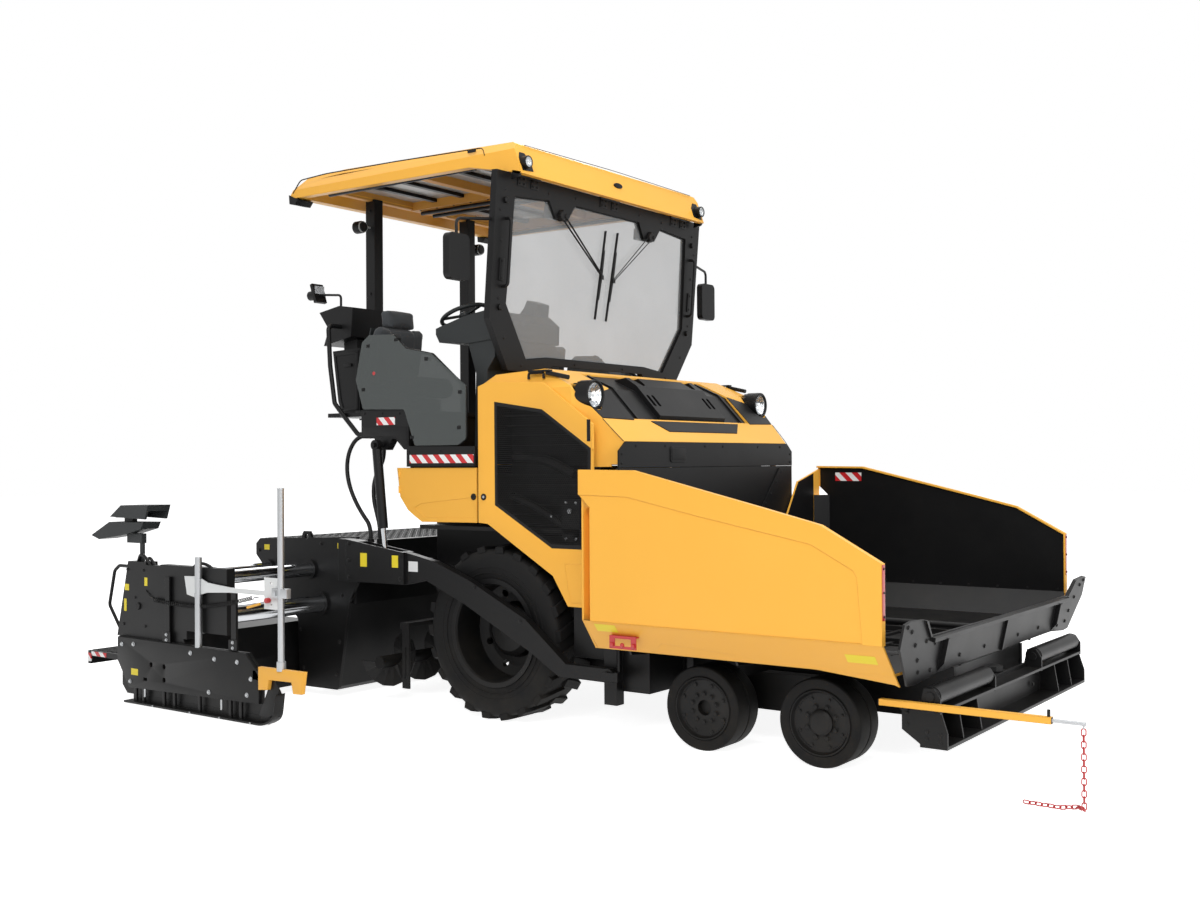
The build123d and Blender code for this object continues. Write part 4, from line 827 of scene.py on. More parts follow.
def addDoorFrame(bm, s, v):
    face, back = s * v["y"], s * (v["y"] - v["thick"])
    rim = grown(v["outline"], 1 - 2 * v["soft"] / v["height"])
    wide = grown(v["window"], v["grow"])
    front, opening = fillBetween(bm, placed(rim, face), placed(wide, face))
    side = [bm.verts.new(place) for place in placed(v["outline"], face - s * v["soft"])]
    joinRings(bm, front, side)
    rear, inner = fillBetween(bm, placed(v["outline"], back), placed(v["window"], back))
    joinRings(bm, side, rear)
    joinRings(bm, opening, inner)
    for low, high in v["hinges"]:
        addRod(bm, (v["hingeX"], face, low), (v["hingeX"], face, high), v["hingeRadius"], 24, 1.0)
    # pressed field: a shallow frame line round it
    addPlate(bm, v["field"], (face - s * 0.2, face + s * 1.4), "xz", 1.4, (grown(v["field"], 0.93),))
    bmesh.ops.remove_doubles(bm, verts=bm.verts, dist=1e-5)


def insideOutline(x, z, points):
    inside = False
    for (x0, z0), (x1, z1) in zip(points, points[1:] + points[:1]):
        if (z0 > z) != (z1 > z) and x < (x1 - x0) * (z - z0) / (z1 - z0) + x0:
            inside = not inside
    return inside


# sheet of six-sided holes inside an outline; cell is the distance across the flats
def addHexMesh(bm, outline, y, cell, wire, thick):
    xs, zs = zip(*outline)
    pitchZ = cell * sqrt(3) / 2
    outer, hole = cell / sqrt(3), (cell - wire) / sqrt(3)
    rows = int((max(zs) - min(zs)) / pitchZ) + 2
    columns = int((max(xs) - min(xs)) / cell) + 2
    turns = [radians(30 + 60 * k) for k in range(6)]
    shared = {}

    def corner(x, z, layer):
        key = (round(x, 2), round(z, 2), layer)
        if key not in shared:
            shared[key] = bm.verts.new(at(x, y + layer, z))
        return shared[key]

    for row in range(rows):
        for column in range(columns):
            cx = min(xs) + (column + 0.5 * (row % 2)) * cell
            cz = min(zs) + row * pitchZ
            big = [(cx + outer * cos(t), cz + outer * sin(t)) for t in turns]
            if not all(insideOutline(x, z, outline) for x, z in big):
                continue
            small = [(cx + hole * cos(t), cz + hole * sin(t)) for t in turns]
            for k in range(6):
                n = (k + 1) % 6
                front = [corner(*p, 0) for p in (big[k], big[n], small[n], small[k])]
                deep = [corner(*p, 0) for p in (small[k], small[n])]
                deep += [corner(*p, thick) for p in (small[n], small[k])]
                bm.faces.new(front)
                bm.faces.new(deep)


def addDoorMesh(bm, s, v):  # the sheet and the frame that clamps it
    y = s * (v["y"] - 6)
    window = v["window"]
    addHexMesh(bm, grown(window, 1.03), y, v["cell"], v["wire"], -s * 2)
    addPlate(bm, grown(window, 1.035), (y + s * 0.8, y - s * 3), "xz", 0, (grown(window, 0.975),))


for sideName, s in sides.items():
    door = f"side_door_{sideName}"
    frameMesh = bmeshOf(lambda bm: addDoorFrame(bm, s, doorSet))
    doorFrame = addPiece(f"doorFrame_{sideName}", frameMesh, "yellow", door)
    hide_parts(door)
    meshSheet = bmeshOf(lambda bm: addDoorMesh(bm, s, doorSet))
    doorMesh = addPiece(f"doorMesh_{sideName}", meshSheet, "black", door, False)
    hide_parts(door)

latchSet = {
    "doorX": -62, "rearX": -152, "y": 1200, "z": 1492,
    "ring": ((0, 4), (11, 4), (12, 8), (19, 8), (22, 5), (22, -1)),
}


def addLatches(bm, s, v):  # round latch of the door, and its slotted one at the front corner
    sideLathe(bm, s, v["ring"], (v["doorX"], v["y"], v["z"]), 32, False)
    sidePlate(bm, s, rectangle(800, 826, 1852, 1990), (1199, 1203), 1.0)


def addKeyFaces(bm, s, v):
    sideLathe(bm, s, ((0, 6), (9, 6), (10, 4), (10, 0)), (v["doorX"], v["y"], v["z"]), 24, False)


def addRearLatch(bm, s, v):
    sideLathe(bm, s, v["ring"], (v["rearX"], v["y"], v["z"]), 32, False)


both("doorLatches", addLatches, "black", "side_door_{}", latchSet)
both("latchKeys", addKeyFaces, "zinc", "side_door_{}", latchSet)
both("rearDoorLatch", addRearLatch, "black", "rear_door_{}", latchSet)


def addEngineBay(bm, s):  # seen through the mesh: louvres, radiator plate, box and pipes
    for k in range(13):
        sidePlate(bm, s, rectangle(40, 790, 1240 + 66 * k, 1245 + 66 * k), (1120, 1060))
    sideBlock(bm, s, (60, 800), (1052, 1046), (1180, 2080))
    sideBlock(bm, s, (560, 700), (1150, 1060), (1210, 1480), 4)
    addTube(bm, [(100, s * 1100, 1500), (300, s * 1120, 1440), (520, s * 1120, 1330), (700, s * 1110, 1200)],
            24, 90, 12)
    addTube(bm, [(120, s * 1090, 1760), (420, s * 1120, 1740), (640, s * 1120, 1640)], 30, 100, 14)


def addBayLining(bm):
    addPlate(bm, lapped([(1165, 1710), (1165, 2210), (1060, 2240)]), (-104, -100), "yz")


def addBayBits(bm, s):  # filter bowl and clamps that glint through the mesh
    sideLathe(bm, s, ((0, 0), (14, 0), (16, 4), (16, 16), (0, 18)), (628, 1150, 1408), 24)
    sideBolts(bm, s, 1150, ((590, 1462), (670, 1462), (590, 1230), (670, 1230), (470, 1372)), 7, 5)


both("engineBay", addEngineBay, "darkSteel", "tractor")
single("bayLining", addBayLining, "rubber", "tractor")
both("bayBits", addBayBits, "zinc", "tractor")


def addHoodScrews(bm):  # of the front plate, of its braces and of the plate's ends, and the bare sign's place
    for s in (-1, 1):
        for y in (960, 620, 120):
            addScrew(bm, (1010, s * y, 1823), forward)
        for share in (0.10, 0.36, 0.66, 0.92):
            y = 992 - share * (992 - 703)
            addScrew(bm, (1018, s * y, 1666 - share * 286), forward, 11, 2)
        for z in (1712, 1770):
            addScrew(bm, (1010, s * 1120, z), forward, 8)
    addPlate(bm, rectangle(-552, -389, 1730, 1808), (1016, 1018.6), "yz", 1.2)


def addHoodSeams(bm):  # dark joint line between panels, a flat ribbon just over the surface
    for s in (-1, 1):
        line = [(862, s * 1118, 1996), (940, s * 1102, 1915), (1000, s * 1085, 1852)]
        for ends in zip(line, line[1:]):
            addTube(bm, ends, 2.2, 0, 6, 0.35)


single("hoodScrews", addHoodScrews, "darkSteel", "tractor")
single("hoodSeams", addHoodSeams, "rubber", "tractor")

# lamps: y, z and radius, then x and way of the bowl, its depth, and x of the bulb
lampSet = {
    "head": (1080, 2150, 92, 772, 1, 74, 724),
    "roof": (1091, 3712, 40, 250, 1, 30, 232),
    "work": (690, 3560, 45, -1796, -1, 40, -1770),
}


def addLampShells(bm, s, v):
    y, z, r = v["head"][:3]
    addLathe(bm, ((r - 12, 60), (r - 4, 66), (r + 3, 62), (r + 5, 40), (r + 5, -40), (r - 20, -78),
                  (r - 30, -90), (r - 40, -90), (r - 14, -40)), (722, s * y, z), forward, 48)
    for k in range(12):  # cooling ribs round the shell
        a = 2 * pi * k / 12
        addBlock(bm, (640, 700), (s * y + (r - 6) * cos(a) - 4, s * y + (r - 6) * cos(a) + 4),
                 (z + (r - 6) * sin(a) - 4, z + (r - 6) * sin(a) + 4), 1)
    addRod(bm, (700, s * 1000, 2110), (700, s * 1080, 2130), 22, 20)
    y, z, r = v["roof"][:3]
    addLathe(bm, ((r - 7, 9), (r - 2, 12), (r + 2.5, 8), (r + 2.5, -70), (r - 7, -70)), (246, s * y, z),
             forward, 40)
    y, z, r = v["work"][:3]
    addLathe(bm, ((r - 6, 2), (r + 3, 0), (r + 3, 60), (r - 10, 84), (0, 86), (0, 76), (r - 12, 70)),
             (-1806, s * y, z), forward, 40)


def addBowls(bm, s, v):
    for y, z, r, x, way, deep, _ in v.values():
        curve = [(r * 0.9 * sqrt(k / 8), -deep * (1 - k / 8)) for k in range(9)]
        addLathe(bm, curve + [(r * 0.93, 1)], (x, s * y, z), (way, 0, 0), 48, False)


def addBulbs(bm, s, v):
    for y, z, r, _, way, _, x in v.values():
        addLathe(bm, ((0, 30), (r * 0.13, 26), (r * 0.15, 6), (r * 0.22, 4), (r * 0.22, -20), (0, -20)),
                 (x, s * y, z), (way, 0, 0), 20)


both("lampShells", addLampShells, "black", "tractor", lampSet)
both("lampBowls", addBowls, "lampBowl", "tractor", lampSet)
both("lampBulbs", addBulbs, "white", "tractor", lampSet)
print("body ready")

# windscreen: gasket, hinge plates, latches, wipers
screenSet = {
    "lean": radians(4.7), "foot": (-5, 2345), "pane": lapped([
        (620, 2450), (852, 2425), (1100, 2790), (1069, 3510), (700, 3540), (620, 3430), (480, 3430),
        (400, 3550)]),
    "hinges": (-940, 0, 940), "gasket": ((3.5, 9.5), (-9.5, -3.5)),
    "bolts": ((1163, 3541), (708, 3585), (400, 3600), (1180, 3200), (1180, 2820), (1100, 2560), (900, 2385),
              (300, 2424), (1210, 3400)),
}


def leanScreen(bm, v):  # pieces drawn upright on the middle plane of the frame, turned to its lean
    x, z = v["foot"]
    turn = Matrix.Rotation(v["lean"], 4, "Y")
    bm.transform(Matrix.Translation(at(x, 0, z)) @ turn @ Matrix.Translation(-at(0, 0, z)))


def addGasket(bm, v):
    for across in v["gasket"]:
        addPlate(bm, grown(v["pane"], 1.004), across, "yz", 1.5, (grown(v["pane"], 0.985),))
    leanScreen(bm, v)


def addScreenPlates(bm, v):
    for y in v["hinges"]:
        for x in (-70, 70):
            addPlate(bm, rectangle(y + x - 42, y + x + 42, 3585, 3652), (25, 31), "yz", 2.5)
        addRod(bm, (30, y - 120, 3656), (30, y + 120, 3656), 9, 16, 1)
    for s in (-1, 1):
        addPlate(bm, rectangle(s * 1146, s * 1192, 2935, 3085), (25, 34), "yz", 3)
        for z in (3470, 2760):
            addLathe(bm, ((0, 20), (17, 20), (21, 15), (21, 0)), (25, s * 1163, z), forward, 24, False)
    leanScreen(bm, v)


def addScreenBolts(bm, v):
    for y in v["hinges"]:
        for x in (-92, -48, 48, 92):
            for z in (3602, 3636):
                addBolt(bm, (31, y + x, z), forward, 7, 5, False)
    for s in (-1, 1):
        for y, z in v["bolts"]:
            addBolt(bm, (25, s * y, z), forward, 8, 4)
        for z in (2955, 3065):
            addBolt(bm, (34, s * 1169, z), forward, 7, 4, False)
    leanScreen(bm, v)


wiperSet = {
    # side of the pivot, blade top (y, z), blade foot (y, z), joint of arms and blade (y, z)
    "sets": ((-1, (-14, 3425), (-83, 2769), (-52, 3060)), (1, (139, 3431), (55, 2766), (96, 3050))),
    "pivot": (556, 3443), "bladeOut": 22, "armOut": 38, "armApart": 30,
}


def addWipers(bm, v):
    pivotY, pivotZ = v["pivot"]
    a, b = v["armOut"], v["bladeOut"]
    for s, top, foot, joint in v["sets"]:
        for offset in (-v["armApart"], v["armApart"]):
            start = (a, s * pivotY + offset, pivotZ + 12)
            addTube(bm, [start, (a + 4, joint[0] + offset * 0.3, joint[1] + 26)], 6, 0, 8, 0.6)
            knuckle = (a - 12, start[1], start[2])
            addLathe(bm, ((0, 26), (13, 26), (16, 20), (18, -14)), knuckle, forward, 20, False)
        addBlock(bm, (a - 6, a + 8), (joint[0] - 16, joint[0] + 16), (joint[1] + 4, joint[1] + 36), 3)
        mid = [(top[0] * (1 - t) + foot[0] * t, top[1] * (1 - t) + foot[1] * t) for t in (0.22, 0.5, 0.78)]
        addTube(bm, [(b + 8, *mid[0]), (b + 13, *mid[1]), (b + 8, *mid[2])], 6, 60, 8, 0.7)
        addTube(bm, [(b + 2, *top), (b + 3, *mid[1]), (b + 2, *foot)], 5, 60, 8)
        lip = [(top[0] - 2, top[1]), (top[0] + 2, top[1]), (foot[0] + 2, foot[1]), (foot[0] - 2, foot[1])]
        addPlate(bm, lip, (9.5, b), "yz")
        cap = (10, s * pivotY, pivotZ + 14)
        addLathe(bm, ((0, 34), (30, 34), (40, 24), (42, 0)), cap, forward, 28, False)
        # motor behind the frame's lobe
        addBlock(bm, (-80, -26), (s * pivotY - 70, s * pivotY + 70), (pivotZ - 10, pivotZ + 74), 10)
    leanScreen(bm, screenSet)


single("screenGasket", addGasket, "rubber", "tractor", screenSet)
single("screenPlates", addScreenPlates, "black", "tractor", screenSet)
single("screenBolts", addScreenBolts, "darkSteel", "tractor", screenSet)
single("wipers", addWipers, "black", "tractor", wiperSet)

roofSet = {
    "half": 1150, "screws": range(-1680, -80, 180),
    "seam": [(-2010, 3778), (-1925, 3868), (-1640, 3880), (-900, 3868), (-120, 3845), (-96, 3836),
             (-82, 3790)],
    "caps": [(-2050, 3770), (-2044, 3700), (-1985, 3688), (-1950, 3726), (-1990, 3742)],
    "panes": ((-1722, -930), (-840, -190)), "bars": (-1480, -1190, -620, -400),
    "recess": [(1012, 3662), (1128, 3652), (1132, 3742), (1112, 3782), (1058, 3784), (1012, 3736)],
}


def addRoofSeams(bm, v):  # joint lines of the shell
    for s in (-1, 1):
        y = s * (v["half"] + 0.4)
        addTube(bm, [(x, y, z) for x, z in v["seam"]], 4.5, 30, 8, 0.6)
        addBlock(bm, (-235, -165), (y, y - s * 10), (3828, 3850), 2)
    addTube(bm, [(176, -1040, 3842), (182, 0, 3852), (176, 1040, 3842)], 2.4, 200, 6)


def addRoofCaps(bm, v):
    for s in (-1, 1):
        sidePlate(bm, s, v["caps"], (1157, 1000), 5)
        sidePlate(bm, s, [(150, 3600), (212, 3612), (236, 3640), (160, 3660)], (1150, 1130), 3)


def addRoofBars(bm, v):
    for s in (-1, 1):
        for x in v["bars"]:
            sideBlock(bm, s, (x - 22, x + 22), (150, 1010), (3806, 3832), 4)
        for z, y in ((3742, 1062), (3752, 70)):
            addTube(bm, [(-1700, s * y, z), (-240, s * y, z)], 15, 0, 12)


def trough(a, b, slant, low):  # section of a pressed rail from a to b, open to the roof
    return [(a, 3842), (a + slant, low), (b - slant, low), (b, 3842)]


def addRoofRails(bm):  # pressed inner frame that carries the panes
    for s in (-1, 1):
        for y0, y1 in ((60, 150), (1010, 1085)):
            addPlate(bm, [(s * y, z) for y, z in trough(y0, y1, 14, 3770)], (-1760, -160), "yz", 5)
    for x0, x1 in ((-1800, -1722), (-930, -840), (-190, -120)):
        addPlate(bm, trough(x0, x1, 12, 3776), (-1080, 1080), "xz", 5)


def addRoofPanes(bm, v):
    for s in (-1, 1):
        for xs in v["panes"]:
            sideBlock(bm, s, xs, (145, 1015), (3833, 3837), 1)


def addRoofScrews(bm, v):  # along the inner frame
    for s in (-1, 1):
        for x in v["screws"]:
            for y in (1048, 105):
                addScrew(bm, (x, s * y, 3770), (0, 0, -1))


def addRoofMarker(bm):  # bare oval lens in the middle of the front edge
    for half, front in ((52, 212), (40, 214)):
        oval = [(y, 3742 + z * 0.36) for y, z in circle(0, 0, half, 28)]
        addPlate(bm, oval, (204, front), "yz", 2)


def addLampRecess(bm, s, v):  # dark housing face round each roof lamp, on the leaning front edge
    around = circle(1091, 3712, 42)
    layers = []
    for lift in (0.4, 2.4):
        layers.append(fillBetween(bm, *([at(239 - (z - 3631) * 0.3507 + lift, s * y, z) for y, z in loop]
                                        for loop in (v["recess"], around))))
    for low, high in zip(*layers):
        joinRings(bm, low, high)


single("roofSeams", addRoofSeams, "rubber", "tractor", roofSet)
single("roofCaps", addRoofCaps, "black", "tractor", roofSet)
single("roofBars", addRoofBars, "black", "tractor", roofSet)
# the roof rails take the darker yellow, painted shade of the roof's underside
single("roofRails", addRoofRails, "shadedYellow", "tractor")
single("roofPanes", addRoofPanes, "roofPane", "tractor", roofSet)
single("roofScrews", addRoofScrews, "black", "tractor", roofSet)
single("roofMarker", addRoofMarker, "black", "tractor")
both("lampRecess", addLampRecess, "black", "tractor", roofSet)


postSet = {
    "bolts": ((-1760, 2140), (-1760, 2230), (-1760, 3050), (-1760, 3700)),
    "clamps": ((-1130, 2560), (-850, 2590), (-560, 2440), (-250, 2200), (-260, 1960), (-700, 1900),
               (-1180, 2250)),
}


def addPostBits(bm, s, v):  # bolts of the posts, clamps of the side shields
    sideBolts(bm, s, 590, v["bolts"], 12, 6)
    for x, z in v["clamps"]:
        sideBlock(bm, s, (x - 16, x + 16), (1192, 1228), (z - 12, z + 12), 4)
        addBolt(bm, (x, s * 1228, z), (0, s, 0), 8, 5)


both("postBolts", addPostBits, "darkSteel", "tractor", postSet)
print("cab ready")

# seats: padded cushions, backs and head rests on a plastic base
seatSet = {
    "voxel": 0.008, "quickVoxel": 0.02, "pressure": 4.0, "frames": 20, "cap": 0.011,
    "seamHalf": 13, "seamDeep": 0.0055,
    "pads": {  # outline in x and z, two y, rounding, seam lines at y, fill
        "seatCushion": ([(-1284, 2206), (-830, 2206), (-806, 2278), (-850, 2334), (-1000, 2322),
                         (-1284, 2314)], (646, 1114), 26, (760, 1000), 0.7),
        "seatBack": ([(-1282, 2300), (-1184, 2290), (-1138, 2500), (-1117, 2690), (-1150, 2722),
                      (-1196, 2702), (-1252, 2600)], (648, 1112), 24, (760, 1000), 0.65),
        "headRest": ([(-1210, 2716), (-1122, 2712), (-1134, 2824), (-1152, 2838), (-1212, 2838),
                      (-1224, 2822)], (746, 1014), 22, (), 0.8),
    },
}


def roundedPad(outline, ys, rounding):  # closed block on the right side with its rims softened
    def make(bm):
        sidePlate(bm, -1, outline, ys)
        rims = [e for e in bm.edges if e.calc_face_angle(0) > 0.3]
        bmesh.ops.bevel(bm, geom=rims, offset=rounding / 1000, segments=3, affect="EDGES", profile=0.5)
    return bmeshOf(make)


def bakedMesh(obj):  # result of the object's modifiers as a plain mesh
    graph = bpy.context.evaluated_depsgraph_get()
    made = bpy.data.meshes.new_from_object(obj.evaluated_get(graph))
    obj.modifiers.clear()
    return made


def puffed(mesh, v):  # stuffed by a short cloth run under pressure, no point moving further than the cap
    pad = bpy.data.objects.new("padWork", mesh)
    scene.collection.objects.link(pad)
    fine = pad.modifiers.new("fine", "REMESH")
    fine.mode, fine.voxel_size = "VOXEL", v["voxel"]
    pad.data = bakedMesh(pad)
    still = [p.co.copy() for p in pad.data.vertices]
    cloth = pad.modifiers.new("cloth", "CLOTH")
    cloth.settings.quality = 4
    cloth.settings.use_pressure = True
    cloth.settings.uniform_pressure_force = v["pressure"]
    cloth.settings.effector_weights.gravity = 0
    cloth.point_cache.frame_start, cloth.point_cache.frame_end = 1, v["frames"]
    for step in range(1, v["frames"] + 1):
        scene.frame_set(step)
    pad.data = bakedMesh(pad)
    scene.frame_set(1)
    for point, start in zip(pad.data.vertices, still):
        move = point.co - start
        if move.length > v["cap"]:
            move.length = v["cap"]
        point.co = start + move
    mesh = pad.data
    bpy.data.objects.remove(pad)
    return mesh


def drawSeams(mesh, seams, half, deep):  # sewn channels that run up the pad
    for point in mesh.vertices:
        y = abs(point.co.y) * 1000
        for seam in seams:
            away = abs(y - seam)
            if away < half:
                point.co -= point.normal * (deep * (1 - (away / half) ** 2))


def makeSeats(v):
    for name, (outline, ys, rounding, seams, fill) in v["pads"].items():
        mesh = puffed(roundedPad(outline, ys, rounding), v)
        drawSeams(mesh, seams, v["seamHalf"], v["seamDeep"])
        for sideName, s in sides.items():
            own = mesh.copy()
            if s > 0:
                own.transform(Matrix.Scale(-1, 4, (0, 1, 0)))
                own.flip_normals()
            pad = addPiece(f"{name}_{sideName}", own, "seatCloth", "tractor")
            finer = pad.modifiers.new("finer", "SUBSURF")
            finer.levels = finer.render_levels = 1
            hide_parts("seats")


makeSeats(seatSet)


def addSeatBase(bm, s):
    sidePlate(bm, s, [(-1220, 2090), (-900, 2090), (-900, 2150), (-940, 2206), (-1200, 2206)], (720, 1040), 8)
    for k in range(4):  # folds of the suspension cover
        sideBlock(bm, s, (-1226, -894), (714, 1046), (2108 + 22 * k, 2117 + 22 * k), 3)
    for y in (640, 1090):  # shell behind the back
        sideBlock(bm, s, (-1296, -1262), (y, y + 28), (2290, 2600), 8)
    sidePlate(bm, s, [(-1296, 2280), (-1286, 2280), (-1262, 2600), (-1232, 2708), (-1244, 2708),
                      (-1274, 2602)], (668, 1092), 3)
    for y in (832, 928):  # stems of the head rest
        addRod(bm, (-1172, s * y, 2690), (-1170, s * y, 2740), 8, 12)
    for y in (640, 1096):  # knuckles of the back
        addRod(bm, (-1150, s * y, 2330), (-1150, s * (y + 24), 2330), 40, 24, 4)


for sideName, s in sides.items():
    baseMesh = bmeshOf(lambda bm: addSeatBase(bm, s))
    base = addPiece(f"seatBase_{sideName}", baseMesh, "plastic", "tractor")
    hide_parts("seats")
print("seats ready")

# console: screens, lever, buttons, hub of the steering wheel
consoleSet = {
    "up": (-0.26, 0, 0.96), "panel": [(-588, 2666), (-330, 2736), (-322, 2742), (-590, 2674)],
    "panels": ((-1060, -860), (-690, -620)), "buttons": (-1030, -990, -950, -910),
    "wheelLean": radians(-22.7), "wheel": (-611, -760, 2770),
}


def addConsoleBits(bm, v):
    for across in v["panels"]:
        addPlate(bm, v["panel"], across, "xz", 2)
    addTube(bm, [(-440, -600, 2700), (-446, -600, 2742), (-452, -600, 2784)], 7, 20, 12)
    knob = ((0, 46), (10, 46), (15, 38), (14, 16), (9, 4), (9, 0))
    addLathe(bm, knob, (-452, -600, 2772), (0, 0, 1), 24, False)
    addLathe(bm, ((0, 3), (20, 3), (24, 0), (24, -4)), (-440, -600, 2708), (0.26, 0, -0.96), 24, False)
    for y in v["buttons"]:
        addLathe(bm, ((0, 9), (8, 9), (10, 6), (10, 0)), (-470, y, 2704), v["up"], 16, False)
    addPlate(bm, [(-329, 2732), (-236, 2816), (-202, 2872), (-214, 2876), (-246, 2822), (-335, 2740)],
             (-548, -432), "xz", 3)


def addConsoleButton(bm, v):
    profile = ((0, 17), (15, 16), (19, 12), (19, 8), (10, 6), (10, 0))
    addLathe(bm, profile, (-380, -1000, 2726), v["up"], 24, False)


def addWheelHub(bm, v):
    way = Vector((sin(v["wheelLean"]), 0, cos(v["wheelLean"])))
    centre = Vector(v["wheel"]) + way * 14
    addLathe(bm, ((0, 20), (30, 19), (38, 14), (40, 4)), centre, way, 32, False)


single("consoleBits", addConsoleBits, "rubber", "tractor", consoleSet)
single("consoleButton", addConsoleButton, "red", "tractor", consoleSet)
single("wheelHub", addWheelHub, "black", "steering_wheel", consoleSet)


def addDeckBands(bm, s):  # warning bands on the side of the stand
    sideBlock(bm, s, (-730, -137), (1216.2, 1217.2), (1720, 1778))
    sideBlock(bm, s, (-1054, -872), (1216.2, 1217.2), (1992, 2046))


def addPlatformPanels(bm, s):
    sidePlate(bm, s, [(-1195, 1912), (-1000, 1910), (-872, 1904), (-790, 1836), (-754, 1836), (-754, 1980),
                      (-1195, 1980)], (1216, 1218.4), 2)
    sidePlate(bm, s, rectangle(-745, -132, 1704, 1712), (1216, 1222), 1)
    # pressed border and door of the locker behind the seats
    border = [(-1678, 2550), (-1412, 2560), (-1416, 2110), (-1584, 2110), (-1620, 2190)]
    door = [(-1652, 2524), (-1438, 2534), (-1441, 2136), (-1572, 2136), (-1596, 2198)]
    sidePlate(bm, s, border, (1050, 1056), 4, (door,))
    sideBlock(bm, s, (-1560, -1480), (1056, 1064), (2440, 2464), 4)
    for x in (-1240, -760):
        sideBlock(bm, s, (x - 30, x + 30), (1190, 1216), (2086, 2102), 3)
    for k in range(20):  # grip ribs of the deck
        sideBlock(bm, s, (-730, -140), (80 + 50 * k, 94 + 50 * k), (1722, 1725), 1)
    for k in range(24):
        sideBlock(bm, s, (-1580, -760), (70 + 44 * k, 82 + 44 * k), (2090, 2093), 1)


def addPlatformBolts(bm, s):
    sideBolts(bm, s, 1216, ((-1180, 2080), (-1000, 2076), (-830, 2072), (-760, 1860), (-1060, 1870),
                            (-920, 1870)), 8, 5)
    sideScrews(bm, s, 1216, ((-740, 1800), (-440, 1800), (-150, 1800)), 8)
    sideScrews(bm, s, 1056, ((-1665, 2535), (-1426, 2545), (-1430, 2124), (-1578, 2124)), 7)


def addShieldDots(bm, s):
    sideLathe(bm, s, ((0, 3), (12, 3), (14, 0), (14, -1)), (-1072, 1224, 2362), 20, False)


def addMirrorGlass(bm):  # two outer mirrors and the small one over the screed
    for s in (-1, 1):
        outline = [(1462, 2930), (1478, 2918), (1602, 2918), (1618, 2930), (1618, 3170), (1602, 3182),
                   (1478, 3182), (1462, 3170)]
        addPlate(bm, [(s * y, z) for y, z in outline], (-18.2, -19.4), "yz")
    addPlate(bm, rectangle(-1046, -954, 2960, 3078), (-1888, -1886), "yz")


both("deckBands", addDeckBands, "warningBands", "tractor")
both("platformPanels", addPlatformPanels, "black", "tractor")
both("platformBolts", addPlatformBolts, "darkSteel", "tractor")
both("shieldDots", addShieldDots, "red", "tractor")
single("mirrorGlass", addMirrorGlass, "chrome", "tractor")
print("platform ready")

# front wheels: solid tyre and bolted disc, each in place of the plain wheel
frontSet = {
    "radius": 253, "axles": {"front": 2373, "rear": 1605},
    "tyre": [(190, 1150), (204, 1157), (243, 1157), (250, 1151), (253, 1140), (253, 1040), (233, 1031),
             (253, 1022), (253, 932), (249, 921), (241, 917), (190, 922)],
    "disc": [(190, 1147), (184, 1156), (178, 1157), (170, 1141), (166, 1135), (122, 1133), (108, 1127),
             (46, 1127), (46, 1060), (176, 1060), (190, 1080)],
    "cap": [(0, 1155), (52, 1155), (58, 1153), (72, 1142), (74, 1126), (72, 1124)],
    "slots": 160, "bolts": {"front": ((8, 92, 13), (8, 140, 9)), "rear": ((8, 146, 12), (10, 84, 12))},
    # bolts: number, radius of their ring, size; the rim's bolts stand outside rimRing
    "rimRing": 120, "rimFace": 1133, "hubFace": 1128,
}


def addFrontDisc(bm, s, axleName, v):
    x, height, ring = v["axles"][axleName], v["radius"], v["slots"]
    centre = (x, 0, height)
    sideLathe(bm, s, v["disc"], centre, 72)
    for i in range(4):  # pressed slots between rim and disc
        for j in range(9):
            a = radians(90 * i + 22 + 5.2 * j)
            spot = (x + ring * cos(a), height + ring * sin(a))
            addRod(bm, (spot[0], s * 1134, spot[1]), (spot[0], s * 1139, spot[1]), 7, 8)
    if axleName == "front":
        sideLathe(bm, s, v["cap"], centre, 48, False)
    for count, ring, size in v["bolts"][axleName]:
        face = v["rimFace"] if ring > v["rimRing"] else v["hubFace"]
        angles = [2 * pi * (i + 0.5) / count for i in range(count)]
        sideBolts(bm, s, face, [(x + ring * cos(a), height + ring * sin(a)) for a in angles], size, 9)


for sideName, s in sides.items():
    for axleName, axle in frontSet["axles"].items():
        wheel = f"front_wheel_{axleName}_{sideName}"
        tyreMesh = bmeshOf(lambda bm: sideLathe(bm, s, frontSet["tyre"], (axle, 0, frontSet["radius"]), 72))
        tyrePiece = addPiece(f"solidTyre_{axleName}_{sideName}", tyreMesh, "tyreRubber", wheel)
        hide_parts(wheel)
        discMesh = bmeshOf(lambda bm: addFrontDisc(bm, s, axleName, frontSet))
        discPiece = addPiece(f"wheelDisc_{axleName}_{sideName}", discMesh, "darkSteel", wheel)
        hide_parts(wheel)

# drive wheels: chevron tyre with rounded shoulders, hub bolts
driveSet = {
    "radius": 587, "carcass": 556, "outer": 1203, "inner": 818, "lugs": 22, "sweep": 62, "stations": 5,
    "lugFoot": 38, "lugHalf": 36, "shoulderDrop": 24, "shoulderStart": 0.75, "sweepCurve": 1.25,
    "profile": [(349, 1181), (372, 1190), (430, 1199), (480, 1203), (520, 1197), (543, 1187), (554, 1172),
                (556, 1150), (557, 1010), (556, 870), (554, 849), (543, 834), (520, 824), (480, 818),
                (430, 822), (372, 831), (349, 840)],
    "rings": (402, 438), "hub": ((0, 58), (54, 58), (62, 50), (66, 20), (96, 10), (100, -2)),
    "bolts": ((10, 0, 150, 900, 16, 14), (16, 0.5, 302, 913, 12, 9)),  # number, turn, ring, y, size, height
}


